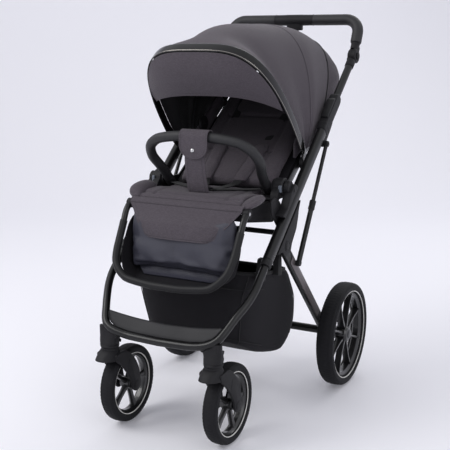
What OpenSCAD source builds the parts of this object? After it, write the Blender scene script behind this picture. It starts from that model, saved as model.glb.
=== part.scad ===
// Baby stroller with a reclining seat unit, a folding canopy and a rear frame that swings forward.
// The stroller faces -Y. Heights are above the ground, and +X is the child's left.
// Lengths along Y are counted from the front axle and shifted once, in placed().

/* [Wheels] */
// Outer diameter of a front tyre
front_tyre_d = 210; // [190:1:220]
// Width of a front tyre
front_tyre_w = 40; // [34:1:42]
// Distance between the two front swivel axes
front_track = 306; // [300:1:312]
// Distance from a swivel axis back to its wheel's axle
trail = 75; // [70:1:80]
// Outer diameter of a rear tyre
rear_tyre_d = 305; // [280:1:310]
// Width of a rear tyre
rear_tyre_w = 51; // [44:1:56]
// Distance from the middle of a side rail out to the middle of a rear tyre
wheel_out = 53.5; // [53:0.5:60]
// Distance between front and rear axles
wheelbase = 513; // [500:1:520]
// Number of spokes of a front rim
front_spokes = 5; // [4:1:7]
// Number of spokes of a rear rim
rear_spokes = 8; // [6:1:10]
// Width of a spoke of a rear rim
rear_spoke_w = 10; // [8:1:14]

/* [Frame] */
// Distance from the seat shell out to the middle of a side rail
rail_out = 50; // [50:0.5:53]
// Slope of the side rails in degrees
rail_slope = 40; // [39:0.5:41]
// Width of a side rail's tube
rail_w = 25; // [23:1:25]
// Depth of a side rail's tube
rail_d = 32; // [28:1:34]
// Wall of a side rail's tube
rail_wall = 2; // [1.5:0.5:3]
// Diameter of the front tube
front_tube_d = 20.8; // [18:0.2:20.8]
// Diameter of the tubes above the fold housings
upper_tube_d = 22; // [20:1:24]
// Thickness of a rear leg
leg_t = 13; // [10:1:13]
// Depth of a rear leg
leg_d = 34; // [28:1:36]
// Diameter of the pin that a rear leg swings on
leg_pin_d = 12; // [8:1:14]
// Diameter of the rear cross axle
axle_tube_d = 24; // [20:1:26]
// Diameter of the rear wheels' stub axles
stub_d = 12; // [10:1:14]
// Diameter of the tube across the frame below the seat
cross_tube_d = 14; // [12:1:16]
// Thickness of the footboard
footboard_t = 6; // [4:1:8]

/* [Handle] */
// Distance from the tilt axis to the middle of the handle
handle_reach = 118; // [112:1:130]
// Diameter of the padded handle
grip_d = 33; // [28:1:34]
// Radius of the handle's corners
grip_corner_r = 44; // [36:1:50]
// Half length of the bare middle section
handle_middle = 64; // [50:1:80]
// Diameter of the tilt hubs
tilt_hub_d = 42; // [38:1:44]

/* [Seat] */
// Slope of the backrest in degrees
recline = 33.8; // [32:0.1:35]
// Length of the backrest
backrest_len = 540; // [500:1:550]
// How far the backrest shell reaches past the seat shell on each side
backrest_over = 2; // [-10:0.5:2]
// Thickness of the backrest shell
shell_t = 28; // [20:1:30]
// Thickness of the backrest pad
pad_t = 23; // [15:1:26]
// Half width of the seat shell
seat_half_w = 163; // [150:1:175]
// Diameter of the padded bumper bar
bumper_d = 27; // [24:1:28]
// Diameter of the footrest's tube
footrest_tube_d = 20; // [18:1:21]

/* [Canopy] */
// Distance from the seat shell out to the canopy at its front bow
bow_over = 40; // [38:1:43]
// Width of the bow's trim strip
bow_strip_w = 29; // [22:1:34]
// Thickness of the canopy's padded fabric
canopy_t = 3; // [2:0.5:4]
// Height of the canopy's crown
crown_z = 1050; // [1046:1:1054]

/* [Basket] */
// Distance from the basket's rim out to the middle of a side rail
basket_in = 29; // [27:1:40]
// How far the basket narrows on each side from its rim to its bottom
basket_taper = 34; // [24:1:50]
// Thickness of the basket's fabric
basket_t = 3; // [2:0.5:4]

/* [Hidden] */
$fn = 48;
gap = 0.3;                 // clearance between pieces of different bodies
fit = 0.06;                // radial clearance of a pin in its bore
slip = 0.5;                // clearance between sliding faces

black = "#17171a";
plastic_black = "#1d1d20";
bronze = "#4d4748";
fabric_grey = "#544f56";
fabric_black = "#141317";
navy = "#3a3c48";
rubber = "#202126";

left = 1;
right = -1;

// The overall length, from the front mudguards to the back of the handle, is centred on the origin.
front_r = front_tyre_d / 2;
rear_r = rear_tyre_d / 2;
rail_x = seat_half_w + rail_out;
rear_track = 2 * (rail_x + wheel_out);
backrest_half_w = seat_half_w + backrest_over;
bow_half_w = seat_half_w + bow_over;
basket_half_w = rail_x - basket_in;
basket_floor_half_w = basket_half_w - basket_taper;
rail_start = [100, 457];
rail_dir = [cos(rail_slope), sin(rail_slope)];
rail_down = [sin(rail_slope), -cos(rail_slope)];
handle_lean = rail_slope + 25;
mudguard_r = 47;
tilt_s = 776;
tilt_at = on_rail(tilt_s, 0);
bar_at = tilt_at + handle_reach * [cos(handle_lean), sin(handle_lean)];
mid_y = (bar_at[0] + grip_d / 2 + 0.5 - trail - mudguard_r) / 2;

// Stations along a side rail, from its point at rail_start
rail_low_s = 5;
housing_s = 460;
housing_top_s = 600;
knuckle_s = 752;

leg_x = rail_x - 2.5;
leg_pivot = [200, 480];
rear_axle_at = [wheelbase, rear_r];
front_axle_at = [0, front_r];
leg_angle = atan2(rear_axle_at[1] - leg_pivot[1], rear_axle_at[0] - leg_pivot[0]);
leg_len = norm(rear_axle_at - leg_pivot);
gusset_in = rail_x - rail_w / 2 - 0.9;
gusset_out = rail_x + rail_w / 2;

strut_x = rail_x + 14;
strut_top = on_rail(441, 27);
strut_foot = [270, 419];
strut_len = norm(strut_top - strut_foot);
strut_angle = atan2(strut_top[1] - strut_foot[1], strut_top[0] - strut_foot[0]);
strut_lower_len = 181;
strut_rod_r = 5.5;
strut_tube_r = 7.2;
strut_collar_r = 9;
strut_eye_r = 9;
strut_pin_r = 4;

stem_x = front_track / 2;
stem_y = -trail;
stem_seam_z = 231;
stem_r = 23;
stem_pin_r = 8;
fork_gap = 3.5;
blade_t = 8;

hub_at = [242, 627];
hub_r = 25;
seat_limit = rail_x - 13.7;
seat_top_z = 598;
back_dir = [cos(recline), sin(recline)];
back_up = [-sin(recline), cos(recline)];
back_low_w = -64;
pad_low_w = back_low_w + shell_t + gap;
pad_top_w = pad_low_w + pad_t;
canopy_pivot = [404, 670];
footrest_pivot = [70, 584];
bumper_mid = [109, 766];
bumper_r = bumper_d / 2;

// ---------------------------------------------------------------- helpers

function on_rail(s, n) = rail_start + s * rail_dir + n * rail_down;
function on_back(u, w) = hub_at + u * back_dir + w * back_up;
function at_x(x, p) = [x, p[0], p[1]];
function unit(v) = v / norm(v);
function polar(r, a) = [r * cos(a), r * sin(a)];

// A smooth curve through a few points, with steps pieces between each pair
function knot(p, i) = p[max(0, min(len(p) - 1, i))];
function spline_at(a, b, c, d, t) =
    0.5 * (2 * b + (c - a) * t + (2 * a - 5 * b + 4 * c - d) * t * t + (3 * b - a - 3 * c + d) * t * t * t);
function smooth(p, steps) = concat(
    [for (i = [0 : len(p) - 2], k = [0 : steps - 1])
        spline_at(knot(p, i - 1), p[i], p[i + 1], knot(p, i + 2), k / steps)],
    [p[len(p) - 1]]);

function mirrored_path(p) = concat([for (q = p) q], [for (i = [len(p) - 2 : -1 : 0]) [-p[i][0], p[i][1], p[i][2]]]);
function circle_points(r, n) = [for (i = [0 : n - 1]) polar(r, 360 * i / n)];
function oval_points(a, b, n) = [for (i = [0 : n - 1]) [a * cos(360 * i / n), b * sin(360 * i / n)]];
function heading(p, i) = unit(p[min(i + 1, len(p) - 1)] - p[max(i - 1, 0)]);
function ring_at(p, i, shape, side) =
    let (t = heading(p, i), v = unit(cross(t, side)), u = cross(v, t)) [for (q = shape) p[i] + q[0] * u + q[1] * v];

// Sweeps an outline along a path; side is a direction that the path never runs along
module sweep(path, shape, side) {
    n = len(shape);
    last = len(path) - 1;
    points = [for (i = [0 : last]) each ring_at(path, i, shape, side)];
    walls = [for (i = [0 : last - 1], k = [0 : n - 1])
        let (a = i * n + k, b = i * n + (k + 1) % n) each [[a, b + n, b], [a, a + n, b + n]]];
    start = [for (k = [0 : n - 1]) k];
    end = [for (k = [n - 1 : -1 : 0]) last * n + k];
    polyhedron(points, concat(walls, [start, end]), convexity = 6);
}

// A closed sheet between two equal grids of points, rows by columns
module sheet(outer, inner) {
    rows = len(outer);
    cols = len(outer[0]);
    n = rows * cols;
    points = concat([for (r = outer) each r], [for (r = inner) each r]);
    function id(i, j, k) = k * n + i * cols + j;
    tops = [for (i = [0 : rows - 2], j = [0 : cols - 2])
        each [[id(i, j, 0), id(i, j + 1, 0), id(i + 1, j + 1, 0)], [id(i, j, 0), id(i + 1, j + 1, 0), id(i + 1, j, 0)]]];
    lows = [for (i = [0 : rows - 2], j = [0 : cols - 2])
        each [[id(i, j, 1), id(i + 1, j + 1, 1), id(i, j + 1, 1)], [id(i, j, 1), id(i + 1, j, 1), id(i + 1, j + 1, 1)]]];
    edge = concat([for (j = [0 : cols - 1]) [0, j]], [for (i = [1 : rows - 1]) [i, cols - 1]],
        [for (j = [cols - 2 : -1 : 0]) [rows - 1, j]], [for (i = [rows - 2 : -1 : 1]) [i, 0]]);
    m = len(edge);
    rims = [for (e = [0 : m - 1])
        let (a = edge[e], b = edge[(e + 1) % m])
        each [[id(a[0], a[1], 0), id(a[0], a[1], 1), id(b[0], b[1], 1)], [id(a[0], a[1], 0), id(b[0], b[1], 1), id(b[0], b[1], 0)]]];
    polyhedron(points, concat(tops, lows, rims), convexity = 6);
}

module placed() translate([0, -mid_y, 0]) children();
module both() {
    children();
    mirror([1, 0, 0]) children();
}
module on_side(side) {
    if (side > 0) children();
    else mirror([1, 0, 0]) children();
}
// A flat outline in the side view, (y, z), as a plate from x0 to x1
module plate(x0, x1) translate([x0, 0, 0]) rotate([90, 0, 90]) linear_extrude(x1 - x0) children();
module rod_x(p, r, x0, x1) translate([x0, p[0], p[1]]) rotate([0, 90, 0]) cylinder(r = r, h = x1 - x0);
// Local frame whose Z runs along a direction of the given slope in the side view
module along(x, p, slope) translate([x, p[0], p[1]]) rotate([slope - 90, 0, 0]) children();
module oval(w, d) {
    square([w, d - w], center = true);
    translate([0, (d - w) / 2]) circle(d = w);
    translate([0, (w - d) / 2]) circle(d = w);
}
module bar2d(a, b, w) translate(a) rotate(atan2(b[1] - a[1], b[0] - a[0])) translate([0, -w / 2]) square([norm(b - a), w]);

// ---------------------------------------------------------------- chassis

module side_rails() {
    color(black) placed() both()
        along(rail_x, on_rail(rail_low_s, 0), rail_slope)
            linear_extrude(housing_s - rail_low_s) difference() {
                oval(rail_w, rail_d);
                oval(rail_w - 2 * rail_wall, rail_d - 2 * rail_wall);
            }
}

front_tube_r = front_tube_d / 2;
front_path = smooth([
    at_x(rail_x, on_rail(36, 0)), at_x(rail_x, on_rail(-40, 0)), at_x(rail_x, on_rail(-88, 0)), [rail_x - 7, 3, 374],
    [rail_x - 21, -27, 347], [rail_x - 30, -44, 328], [stem_x + 16, -68, 302], [stem_x + 1, -79, 289], [stem_x - 24, -83, 279],
    [90, -82, 272], [42, -82, 270], [0, -82, 269]], 2);

module front_tube() {
    color(black) placed() sweep(mirrored_path(front_path), circle_points(front_tube_r - 0.1, 16), [0, 1, -1]);
}

footboard_slope = 43;
function tray_front(x) = lookup(x, [[0, 0], [90, 2.4], [127, 6], [148, 14.8], [159, 26.8], [166, 41]]);
function tray_rear(x) = 38 + 7 * x / 166;
function tray_dish(x) = 16 * pow(max(x - 60, 0) / 106, 1.8);
function along_board(x, u, w) = [x, -72.8 + u * cos(footboard_slope) - w * sin(footboard_slope),
    275 + u * sin(footboard_slope) + w * cos(footboard_slope)];
function tray_row(t, w) = [for (i = [-24 : 24]) let (x = 166 * i / 24, a = abs(x))
    along_board(x, tray_front(a) * (1 - t) + tray_rear(a) * t, w + tray_dish(a))];
module footboard() {
    color(plastic_black) placed()
        sheet([for (i = [0 : 4]) tray_row(i / 4, footboard_t)], [for (i = [0 : 4]) tray_row(i / 4, 0)]);
}

bracket_top = 262;
bracket_low = stem_seam_z + slip;
module stem_brackets() {
    color(plastic_black) placed() both() translate([stem_x, stem_y, 0]) {
        difference() {
            union() {
                translate([0, 0, bracket_low]) cylinder(r = stem_r, h = bracket_top - bracket_low);
                translate([-stem_r - 1, -17, bracket_low]) cube([2 * stem_r + 3, 26, bracket_top - bracket_low]);
                translate([-18, -11, bracket_top - 1]) cube([36, 31.5, 25]);
                translate([-14, -11, bracket_top - 1]) cube([40, 15, 27]);
                translate([-37, -11, bracket_top + 1]) cube([20, 15, 16]);
                translate([-12, 10, 250]) cube([4, 25, 12]);
                translate([8, 10, 250]) cube([4, 25, 12]);
            }
            translate([0, 0, bracket_low - 1]) cylinder(r = stem_pin_r + fit, h = 28);
            translate([-stem_x, -stem_y, 0]) sweep(front_path, circle_points(front_tube_r + 0.25, 16), [0, 1, -1]);
        }
        translate([-9, 31, 256]) rotate([0, 90, 0]) cylinder(r = 2, h = 18);
    }
}

module leg_gussets() {
    slot_in = leg_x - leg_t / 2 - 0.4;
    slot_out = leg_x + leg_t / 2 + 0.4;
    under = rail_d / 2 + 0.1;
    pivot_r = 27;
    color(plastic_black) placed() both() {
        difference() {
            union() {
                plate(gusset_in, gusset_out) polygon([
                    on_rail(38, under), on_rail(228, under), [273, 566], [268, 545], [258, 517], [228, 480],
                    [200, 455], [178, 464]]);
                rod_x(leg_pivot, pivot_r + 3, gusset_in, gusset_out);
            }
            rod_x(leg_pivot, pivot_r, slot_in, slot_out);
            plate(slot_in, slot_out) polygon([
                leg_pivot, leg_pivot + polar(120, -3), leg_pivot + polar(150, -60), leg_pivot + polar(120, -150)]);
            along(rail_x, on_rail(0, 0), rail_slope) linear_extrude(housing_s) oval(rail_w + 0.2, rail_d + 0.2);
            rod_x([197, 514], cross_tube_d / 2 + 0.05, gusset_in - 1, gusset_in + 3);
        }
        rod_x(leg_pivot, leg_pin_d / 2, slot_in, slot_out);
    }
}

module cross_tube() color(black) placed() rod_x([197, 514], cross_tube_d / 2, -gusset_in - 2.5, gusset_in + 2.5);

module basket_body(inset) {
    rim = [[54 + inset, 362], [85 + inset, 424 - inset], [317, 388 - inset], [432 - inset, 280], [468 - inset, 219]];
    floor = [[434 - inset, 148 + inset], [333, 136 + inset], [262, 148 + inset], [177, 180 + inset], [66 + inset, 238 + inset]];
    hull() {
        for (p = rim, s = [-1, 1])
            translate([s * (basket_half_w - inset - 1), p[0], p[1]]) cube([2, 1, 1], center = true);
        for (p = floor, s = [-1, 1])
            translate([s * (basket_floor_half_w - inset - 1), p[0], p[1]]) cube([2, 1, 1], center = true);
    }
}
module basket() {
    mouth = [[86 + basket_t, 412], [86 + basket_t, 460], [317, 460], [317, 376]];
    tab_in = basket_half_w - 1.5;
    color(fabric_black) placed() {
        difference() {
            basket_body(0);
            basket_body(basket_t);
            intersection() {
                plate(-basket_half_w, basket_half_w) polygon(mouth);
                translate([-basket_half_w + 6, 0, 0]) cube([2 * basket_half_w - 12, 600, 600]);
            }
        }
        both() {
            plate(tab_in, gusset_in - 0.1) polygon([[196, 394], [226, 390], [221, 474], [200, 474]]);
            plate(tab_in, rail_x - rail_w / 2 - 0.3) polygon([[92, 404], [122, 402], [130, 462], [108, 462]]);
        }
    }
}

housing_w = 25.6;
lug_in = rail_x - 7;
lug_out = rail_x + 6.5;
module fold_housings() {
    color(plastic_black) placed() both() {
        along(rail_x, on_rail(housing_s + 0.1, 0), rail_slope) linear_extrude(housing_top_s - housing_s - 0.2)
            translate([-housing_w / 2, -17]) square([housing_w, 34]);
        plate(lug_in, lug_out) polygon([
            on_rail(housing_s + 1, 16), on_rail(housing_s + 90, 16), on_rail(housing_s + 60, 30),
            on_rail(441, 38), on_rail(431, 30), on_rail(431, 20), on_rail(444, 17.5)]);
        rod_x(strut_top, strut_pin_r, lug_out - 1, strut_x + 6);
    }
}

module upper_tubes() {
    color(black) placed() both()
        along(rail_x, on_rail(housing_top_s, 0), rail_slope) difference() {
            cylinder(d = upper_tube_d, h = knuckle_s - housing_top_s - 0.1);
            translate([0, 0, -1]) cylinder(d = upper_tube_d - 4, h = knuckle_s - housing_top_s + 2);
        }
}

hub_seam_x = rail_x;
tilt_pin_r = 5;
module tilt_knuckles() {
    collar_r = min(13.3, rail_x - seat_limit - 0.4);
    color(plastic_black) placed() both() {
        rod_x(tilt_at, tilt_hub_d / 2, hub_seam_x - 12, hub_seam_x - 0.2);
        rod_x(tilt_at, tilt_pin_r, hub_seam_x - 1, hub_seam_x + 6);
        along(rail_x, on_rail(728, 0), rail_slope) difference() {
            union() {
                cylinder(r = collar_r, h = 26);
                translate([-12, -10, 20]) cube([11.8, 20, 20]);
            }
            translate([0, 0, -1]) cylinder(d = upper_tube_d + 0.1, h = knuckle_s - 728 + 1);
        }
    }
}

adapter_s = 218;
adapter_n = -39;
module seat_adapters() {
    on_top = rail_d / 2 + 0.1;
    inner = seat_limit + slip;
    color(plastic_black) placed() both() {
        plate(inner, rail_x + 10) polygon([
            on_rail(adapter_s - 84, -on_top), on_rail(adapter_s + 24, -on_top),
            on_rail(adapter_s + 15, adapter_n), on_rail(adapter_s - 15, adapter_n),
            on_rail(adapter_s - 62, adapter_n - 14), on_rail(adapter_s - 92, adapter_n - 6)]);
        rod_x(on_rail(adapter_s, adapter_n), 18, inner, rail_x + 2);
    }
}

// ---------------------------------------------------------------- rear frame

module rear_legs() {
    color(black) placed() both() difference() {
        plate(leg_x - leg_t / 2, leg_x + leg_t / 2) {
            bar2d(leg_pivot, rear_axle_at, leg_d);
            translate(leg_pivot) circle(r = leg_d / 2 + 4);
            translate(rear_axle_at) circle(r = leg_d / 2 + 3);
        }
        rod_x(leg_pivot, leg_pin_d / 2 + fit, leg_x - leg_t, leg_x + leg_t);
        rod_x(rear_axle_at, axle_tube_d / 2 + 0.05, leg_x - leg_t, leg_x + leg_t);
    }
}

cover_t = 2.5;
module leg_covers() {
    from = 62;
    upto = 350;
    color(bronze) placed() both()
        plate(leg_x + leg_t / 2 + 0.05, leg_x + leg_t / 2 + cover_t)
            bar2d(leg_pivot + polar(from, leg_angle), leg_pivot + polar(upto, leg_angle), leg_d - 6);
}

block_out = rear_track / 2 - rear_tyre_w / 2 - 3;
module rear_axle() {
    tube_half = leg_x + leg_t / 2;
    color(black) placed() {
        rod_x(rear_axle_at, axle_tube_d / 2, -tube_half, tube_half);
        both() rod_x(rear_axle_at, stub_d / 2, tube_half - 1, rear_track / 2 + 18);
    }
}

module axle_blocks() {
    color(plastic_black) placed() both() difference() {
        union() {
            rod_x(rear_axle_at, 21, leg_x + leg_t / 2 + 0.1, block_out);
            plate(leg_x + leg_t / 2 + 0.1, block_out - 4)
                bar2d(rear_axle_at, leg_pivot + polar(leg_len - 62, leg_angle), 26);
        }
        rod_x(rear_axle_at, stub_d / 2 + fit, leg_x, block_out + 1);
    }
}

// Half a tyre's outline as [radius, offset], full round outside and flat at the bead
function tyre_outline(r_in, r_out, w) = [for (a = [0 : 15 : 345])
    let (c = cos(a), s = sin(a))
    [(r_in + r_out) / 2 + (r_out - r_in) / 2 * sign(c) * pow(abs(c), 0.75), w / 2 * sign(s) * pow(abs(s), 0.6)]];

module tyre(x, p, r, w, bead) translate([x, p[0], p[1]]) rotate([0, 90, 0])
    rotate_extrude($fn = 96) polygon(tyre_outline(bead, r, w));

module rim(x, p, bead, w, hub_r, bore_r, spokes, spoke_w, hub_half) {
    translate([x, p[0], p[1]]) rotate([0, 90, 0]) difference() {
        union() {
            rotate_extrude($fn = 96) translate([bead - 9, -w / 2]) square([9, w]);
            translate([0, 0, -hub_half]) cylinder(r = hub_r, h = 2 * hub_half);
            for (i = [0 : spokes - 1])
                rotate(360 / spokes * (i + 0.5)) translate([hub_r - 3, -spoke_w / 2, -w / 4]) cube([bead - hub_r - 1, spoke_w, w / 2]);
        }
        translate([0, 0, -hub_half - 1]) cylinder(r = bore_r + fit, h = 2 * hub_half - 3);
    }
}

front_bead = front_r * 0.77;
rear_bead = rear_r * 0.82;
front_tyre_height = front_r - front_bead;
bead_fit = 0.1;

module rear_tyre(side) color(rubber) placed() on_side(side)
    tyre(rear_track / 2, rear_axle_at, rear_r, rear_tyre_w, rear_bead);
module rear_rim(side) color(plastic_black) placed() on_side(side)
    rim(rear_track / 2, rear_axle_at, rear_bead - bead_fit, rear_tyre_w * 0.5, 24, stub_d / 2, rear_spokes, rear_spoke_w, rear_tyre_w / 2 - 0.5);

module brake_pedal() {
    color(plastic_black) placed() difference() {
        union() {
            rod_x(rear_axle_at, axle_tube_d / 2 + 5, -32, 32);
            plate(-32, 32) polygon([
                rear_axle_at + [8, -6], rear_axle_at + [58, 4], rear_axle_at + [60, 10], rear_axle_at + [8, 10]]);
        }
        rod_x(rear_axle_at, axle_tube_d / 2 + fit, -40, 40);
    }
}

// ---------------------------------------------------------------- folding struts

module upper_strut(side) {
    rod_len = strut_len - 30;
    color(black) placed() on_side(side) difference() {
        union() {
            rod_x(strut_top, strut_eye_r, strut_x - 6, strut_x + 6);
            along(strut_x, strut_top - polar(rod_len, strut_angle), strut_angle) cylinder(r = strut_rod_r, h = rod_len - 3);
        }
        rod_x(strut_top, strut_pin_r + fit, strut_x - 7, strut_x + 7);
    }
}

module lower_strut(side) {
    color(black) placed() on_side(side) difference() {
        union() {
            rod_x(strut_foot, strut_eye_r, strut_x - 6, strut_x + 6);
            along(strut_x, strut_foot, strut_angle) {
                cylinder(r = strut_tube_r, h = strut_lower_len - 1);
                translate([0, 0, strut_lower_len - 26]) cylinder(r = strut_collar_r, h = 26);
            }
        }
        along(strut_x, strut_foot, strut_angle) translate([0, 0, 16]) cylinder(r = strut_rod_r + 0.15, h = strut_lower_len);
        rod_x(strut_foot, strut_pin_r, strut_x - 7, strut_x + 7);
    }
}

// ---------------------------------------------------------------- front wheels

blade_in = front_tyre_w / 2 + fork_gap;
module fork(side) {
    crown_low = 205;
    color(plastic_black) placed() on_side(side) {
        translate([stem_x, stem_y, 0]) {
            translate([0, 0, crown_low]) cylinder(r = stem_r, h = stem_seam_z - crown_low);
            translate([0, 0, stem_seam_z - 1]) cylinder(r = stem_pin_r, h = 27);
            intersection() {
                translate([0, 0, crown_low - 9]) cylinder(r = mudguard_r, h = 14);
                translate([-28, -60, crown_low - 9]) cube([56, 60, 14]);
            }
            translate([-blade_in - blade_t, -22, crown_low + 1]) cube([2 * (blade_in + blade_t), 44, 14]);
        }
        for (s = [-1, 1])
            translate([stem_x + s * (blade_in + blade_t / 2) - blade_t / 2, 0, 0]) plate(0, blade_t) {
                polygon([[stem_y - 22, crown_low + 14], [stem_y - 14, crown_low - 12], [stem_y + 30, 150], [-20, front_r],
                    [0, front_r - 18], [18, front_r], [10, 150], [stem_y + 50, crown_low - 2], [stem_y + 22, crown_low + 14]]);
                translate(front_axle_at) circle(r = 19);
            }
        rod_x(front_axle_at, 5, stem_x - blade_in - 1, stem_x + blade_in + 1);
    }
}

module front_tyre(side) color(rubber) placed() on_side(side)
    tyre(stem_x, front_axle_at, front_r, front_tyre_w, front_bead);
module front_rim(side) color(plastic_black) placed() on_side(side) {
    half = front_tyre_w / 2 + fork_gap - slip;
    translate([stem_x, 0, front_r]) rotate([0, 90, 0]) difference() {
        union() {
            rotate_extrude($fn = 96) translate([front_bead - bead_fit - 7, -front_tyre_w / 4]) square([7, front_tyre_w / 2]);
            translate([0, 0, -half]) cylinder(r = 16, h = 2 * half);
            for (i = [0 : front_spokes - 1])
                rotate(360 / front_spokes * i) translate([13, -9, -6]) cube([front_bead - 18, 18, 12]);
        }
        translate([0, 0, -half - 1]) cylinder(r = 5 + fit, h = 2 * half + 2);
    }
}

module swivel_lock(side) color(plastic_black) placed() on_side(side) translate([stem_x, stem_y, 0]) difference() {
    union() {
        translate([-7.6, 25, 234]) cube([15.2, 8, 22]);
        translate([-7.6, 31, 256]) rotate([0, 90, 0]) cylinder(r = 5, h = 15.2);
        translate([-11, 30, 234]) cube([22, 6, 9]);
    }
    translate([-9, 31, 256]) rotate([0, 90, 0]) cylinder(r = 2 + fit, h = 18);
}

// ---------------------------------------------------------------- handle

module fold_slider(side) color(plastic_black) placed() on_side(side)
    along(rail_x, on_rail(500, 0), rail_slope) difference() {
        translate([-11, -24.5, 0]) cube([22, 7.2, 74]);
        for (k = [0 : 4]) translate([-12, -25.5, 22 + 7 * k]) cube([24, 2, 3]);
    }

function handle_point(x, u) = at_x(x, tilt_at + u * [cos(handle_lean), sin(handle_lean)]);
hub_neck_u = 42;
module handle_hubs() {
    color(plastic_black) placed() both() difference() {
        union() {
            rod_x(tilt_at, tilt_hub_d / 2, hub_seam_x + 0.2, hub_seam_x + 13);
            along(rail_x, tilt_at, handle_lean) {
                translate([0.2, -11, 0]) cube([12.2, 22, 34]);
                translate([0, 0, tilt_hub_d / 2 + 1]) cylinder(r = 13.2, h = hub_neck_u - tilt_hub_d / 2 - 1);
            }
        }
        rod_x(tilt_at, tilt_pin_r + fit, hub_seam_x, hub_seam_x + 7);
        rod_x(tilt_at, 11.4, hub_seam_x + 8, hub_seam_x + 14);
    }
}

module handle_grips() {
    corner = [for (a = [0 : 15 : 90]) handle_point(rail_x - grip_corner_r + grip_corner_r * cos(a),
        handle_reach - grip_corner_r + grip_corner_r * sin(a))];
    path = concat([handle_point(rail_x, hub_neck_u + 0.1)], corner, [handle_point(handle_middle, handle_reach)]);
    color("#26262a") placed() both() sweep(path, circle_points(grip_d / 2, 20), cross([1, 0, 0], handle_point(0, 1) - handle_point(0, 0)));
}

button_half = 13;
module handle_middle_piece() {
    color(plastic_black) placed() difference() {
        union() {
            rod_x(bar_at, grip_d / 2 + 0.5, -handle_middle + 0.1, handle_middle - 0.1);
            translate([-25, bar_at[0] - 12, bar_at[1] - 31]) cube([50, 24, 26]);
        }
        translate([-button_half - gap, bar_at[0] - 7 - gap, bar_at[1] - 32]) cube([2 * (button_half + gap), 2 * (7 + gap), 9]);
    }
}
module fold_button() color(bronze) placed()
    translate([-button_half, bar_at[0] - 7, bar_at[1] - 34]) cube([2 * button_half, 14, 6.5]);

module tilt_button(side) color(plastic_black) placed() on_side(side)
    rod_x(tilt_at, 11, hub_seam_x + 12, hub_seam_x + 18);

// ---------------------------------------------------------------- seat

module seat_shell() {
    color(fabric_black) placed() {
        plate(-seat_half_w, seat_half_w)
            polygon([[62, seat_top_z - 12], [94, seat_top_z - 42], [252, seat_top_z - 70], [258, seat_top_z - 38],
                [260, seat_top_z], [70, seat_top_z]]);
        both() rod_x(footrest_pivot, 5, seat_half_w - 1, seat_half_w + 12);
    }
}

bolster_half_w = seat_half_w + 21;
module bolster() {
    hull() {
        translate([seat_half_w - 33, 90, seat_top_z + 12]) sphere(r = 11, $fn = 20);
        translate([bolster_half_w - 18, 88, seat_top_z + 20]) sphere(r = 18, $fn = 20);
        translate([seat_half_w - 33, 150, seat_top_z + 12]) sphere(r = 11, $fn = 20);
        translate([bolster_half_w - 18, 152, seat_top_z + 24]) sphere(r = 14, $fn = 20);
    }
}
module seat_cushion() {
    color(fabric_grey) placed() {
        difference() {
            plate(13 - seat_half_w, seat_half_w - 13) polygon([
                [66, seat_top_z + gap], [62, seat_top_z + 4], [70, seat_top_z + 8], [130, seat_top_z + 14],
                [255, seat_top_z + 14], [255, seat_top_z + gap]]);
            both() translate([seat_half_w - 26, 195, seat_top_z - 1]) cube([20, 70, 40]);
        }
        both() bolster();
    }
}

module seat_hubs() {
    inner = seat_half_w + 9;
    color(plastic_black) placed() both() difference() {
        union() {
            rod_x(hub_at, hub_r, inner, seat_limit);
            rod_x(hub_at, 6, inner - 6, inner + 1);
            translate([seat_half_w - 8, 196, seat_top_z + gap]) cube([36, 34, 6]);
            plate(inner + 1, inner + 21) polygon([[200, seat_top_z + 2], [226, seat_top_z + 2], [226, 620], [200, 608.5]]);
            translate([seat_half_w - 25, 196, seat_top_z + gap]) cube([26.6, 62, 6]);
            along(bumper_x, bumper_foot, bumper_slope) translate([0, 0, -32]) cylinder(r = bumper_r, h = 32);
        }
        along(bumper_x, bumper_foot, bumper_slope) translate([0, 0, -23]) cylinder(r = 7 + fit, h = 24);
        translate([seat_half_w + 26.6, 200, hub_at[1] - 11]) cube([12, 30, 20]);
    }
}

module bumper_buttons() {
    color("#6d7480") placed() both() translate([seat_half_w + 27, 213, hub_at[1] - 10.6]) cube([8.6, 13, 19.2]);
}

module harness_buckle() {
    color(plastic_black) placed() {
        translate([-22, 140, seat_top_z + 14 + gap]) cube([44, 34, 13]);
        translate([0, 157, seat_top_z + 27]) cylinder(r = 11, h = 4);
    }
}

arm_in = backrest_half_w + gap;
arm_out = seat_half_w + 8.6;
module backrest_arms() {
    color(black) placed() both() difference() {
        plate(arm_in, arm_out) {
            translate(hub_at) circle(r = 22);
            polygon([on_back(-8, -16), on_back(18, -10), on_back(60, -38), on_back(330, -38), on_back(330, -60), on_back(20, -62)]);
        }
        rod_x(hub_at, 6 + fit, arm_in - 1, arm_out + 1);
    }
}

module on_backrest() translate([0, hub_at[0], hub_at[1]]) rotate([recline, 0, 0]) children();
module backrest_shell() {
    color(fabric_black) placed() on_backrest()
        translate([-backrest_half_w, 5, back_low_w]) cube([2 * backrest_half_w, backrest_len, shell_t]);
}

wing_out = backrest_half_w + 8;
module backrest_pad() {
    wing_in = backrest_half_w - 15;
    wing = [[wing_in, 0], [wing_in, pad_t + 4], [wing_in + 6, pad_t + 18], [wing_out - 4, pad_t + 22], [wing_out, pad_t + 14], [wing_out - 4, 0]];
    color(fabric_grey) placed() on_backrest() {
        translate([-wing_in - 2, 12, pad_low_w]) cube([2 * wing_in + 4, backrest_len - 18, pad_t]);
        both() translate([0, 150, pad_low_w]) rotate([-90, 0, 0]) mirror([0, 1, 0]) linear_extrude(240) polygon(wing);
    }
}

module shoulder_harness() {
    color(fabric_grey) placed() on_backrest() both() {
        translate([36, 14, pad_top_w + gap]) cube([46, 160, 9]);
        translate([48, 30, pad_top_w + gap]) cube([22, 365, 2]);
    }
}

// ---------------------------------------------------------------- canopy

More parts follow.
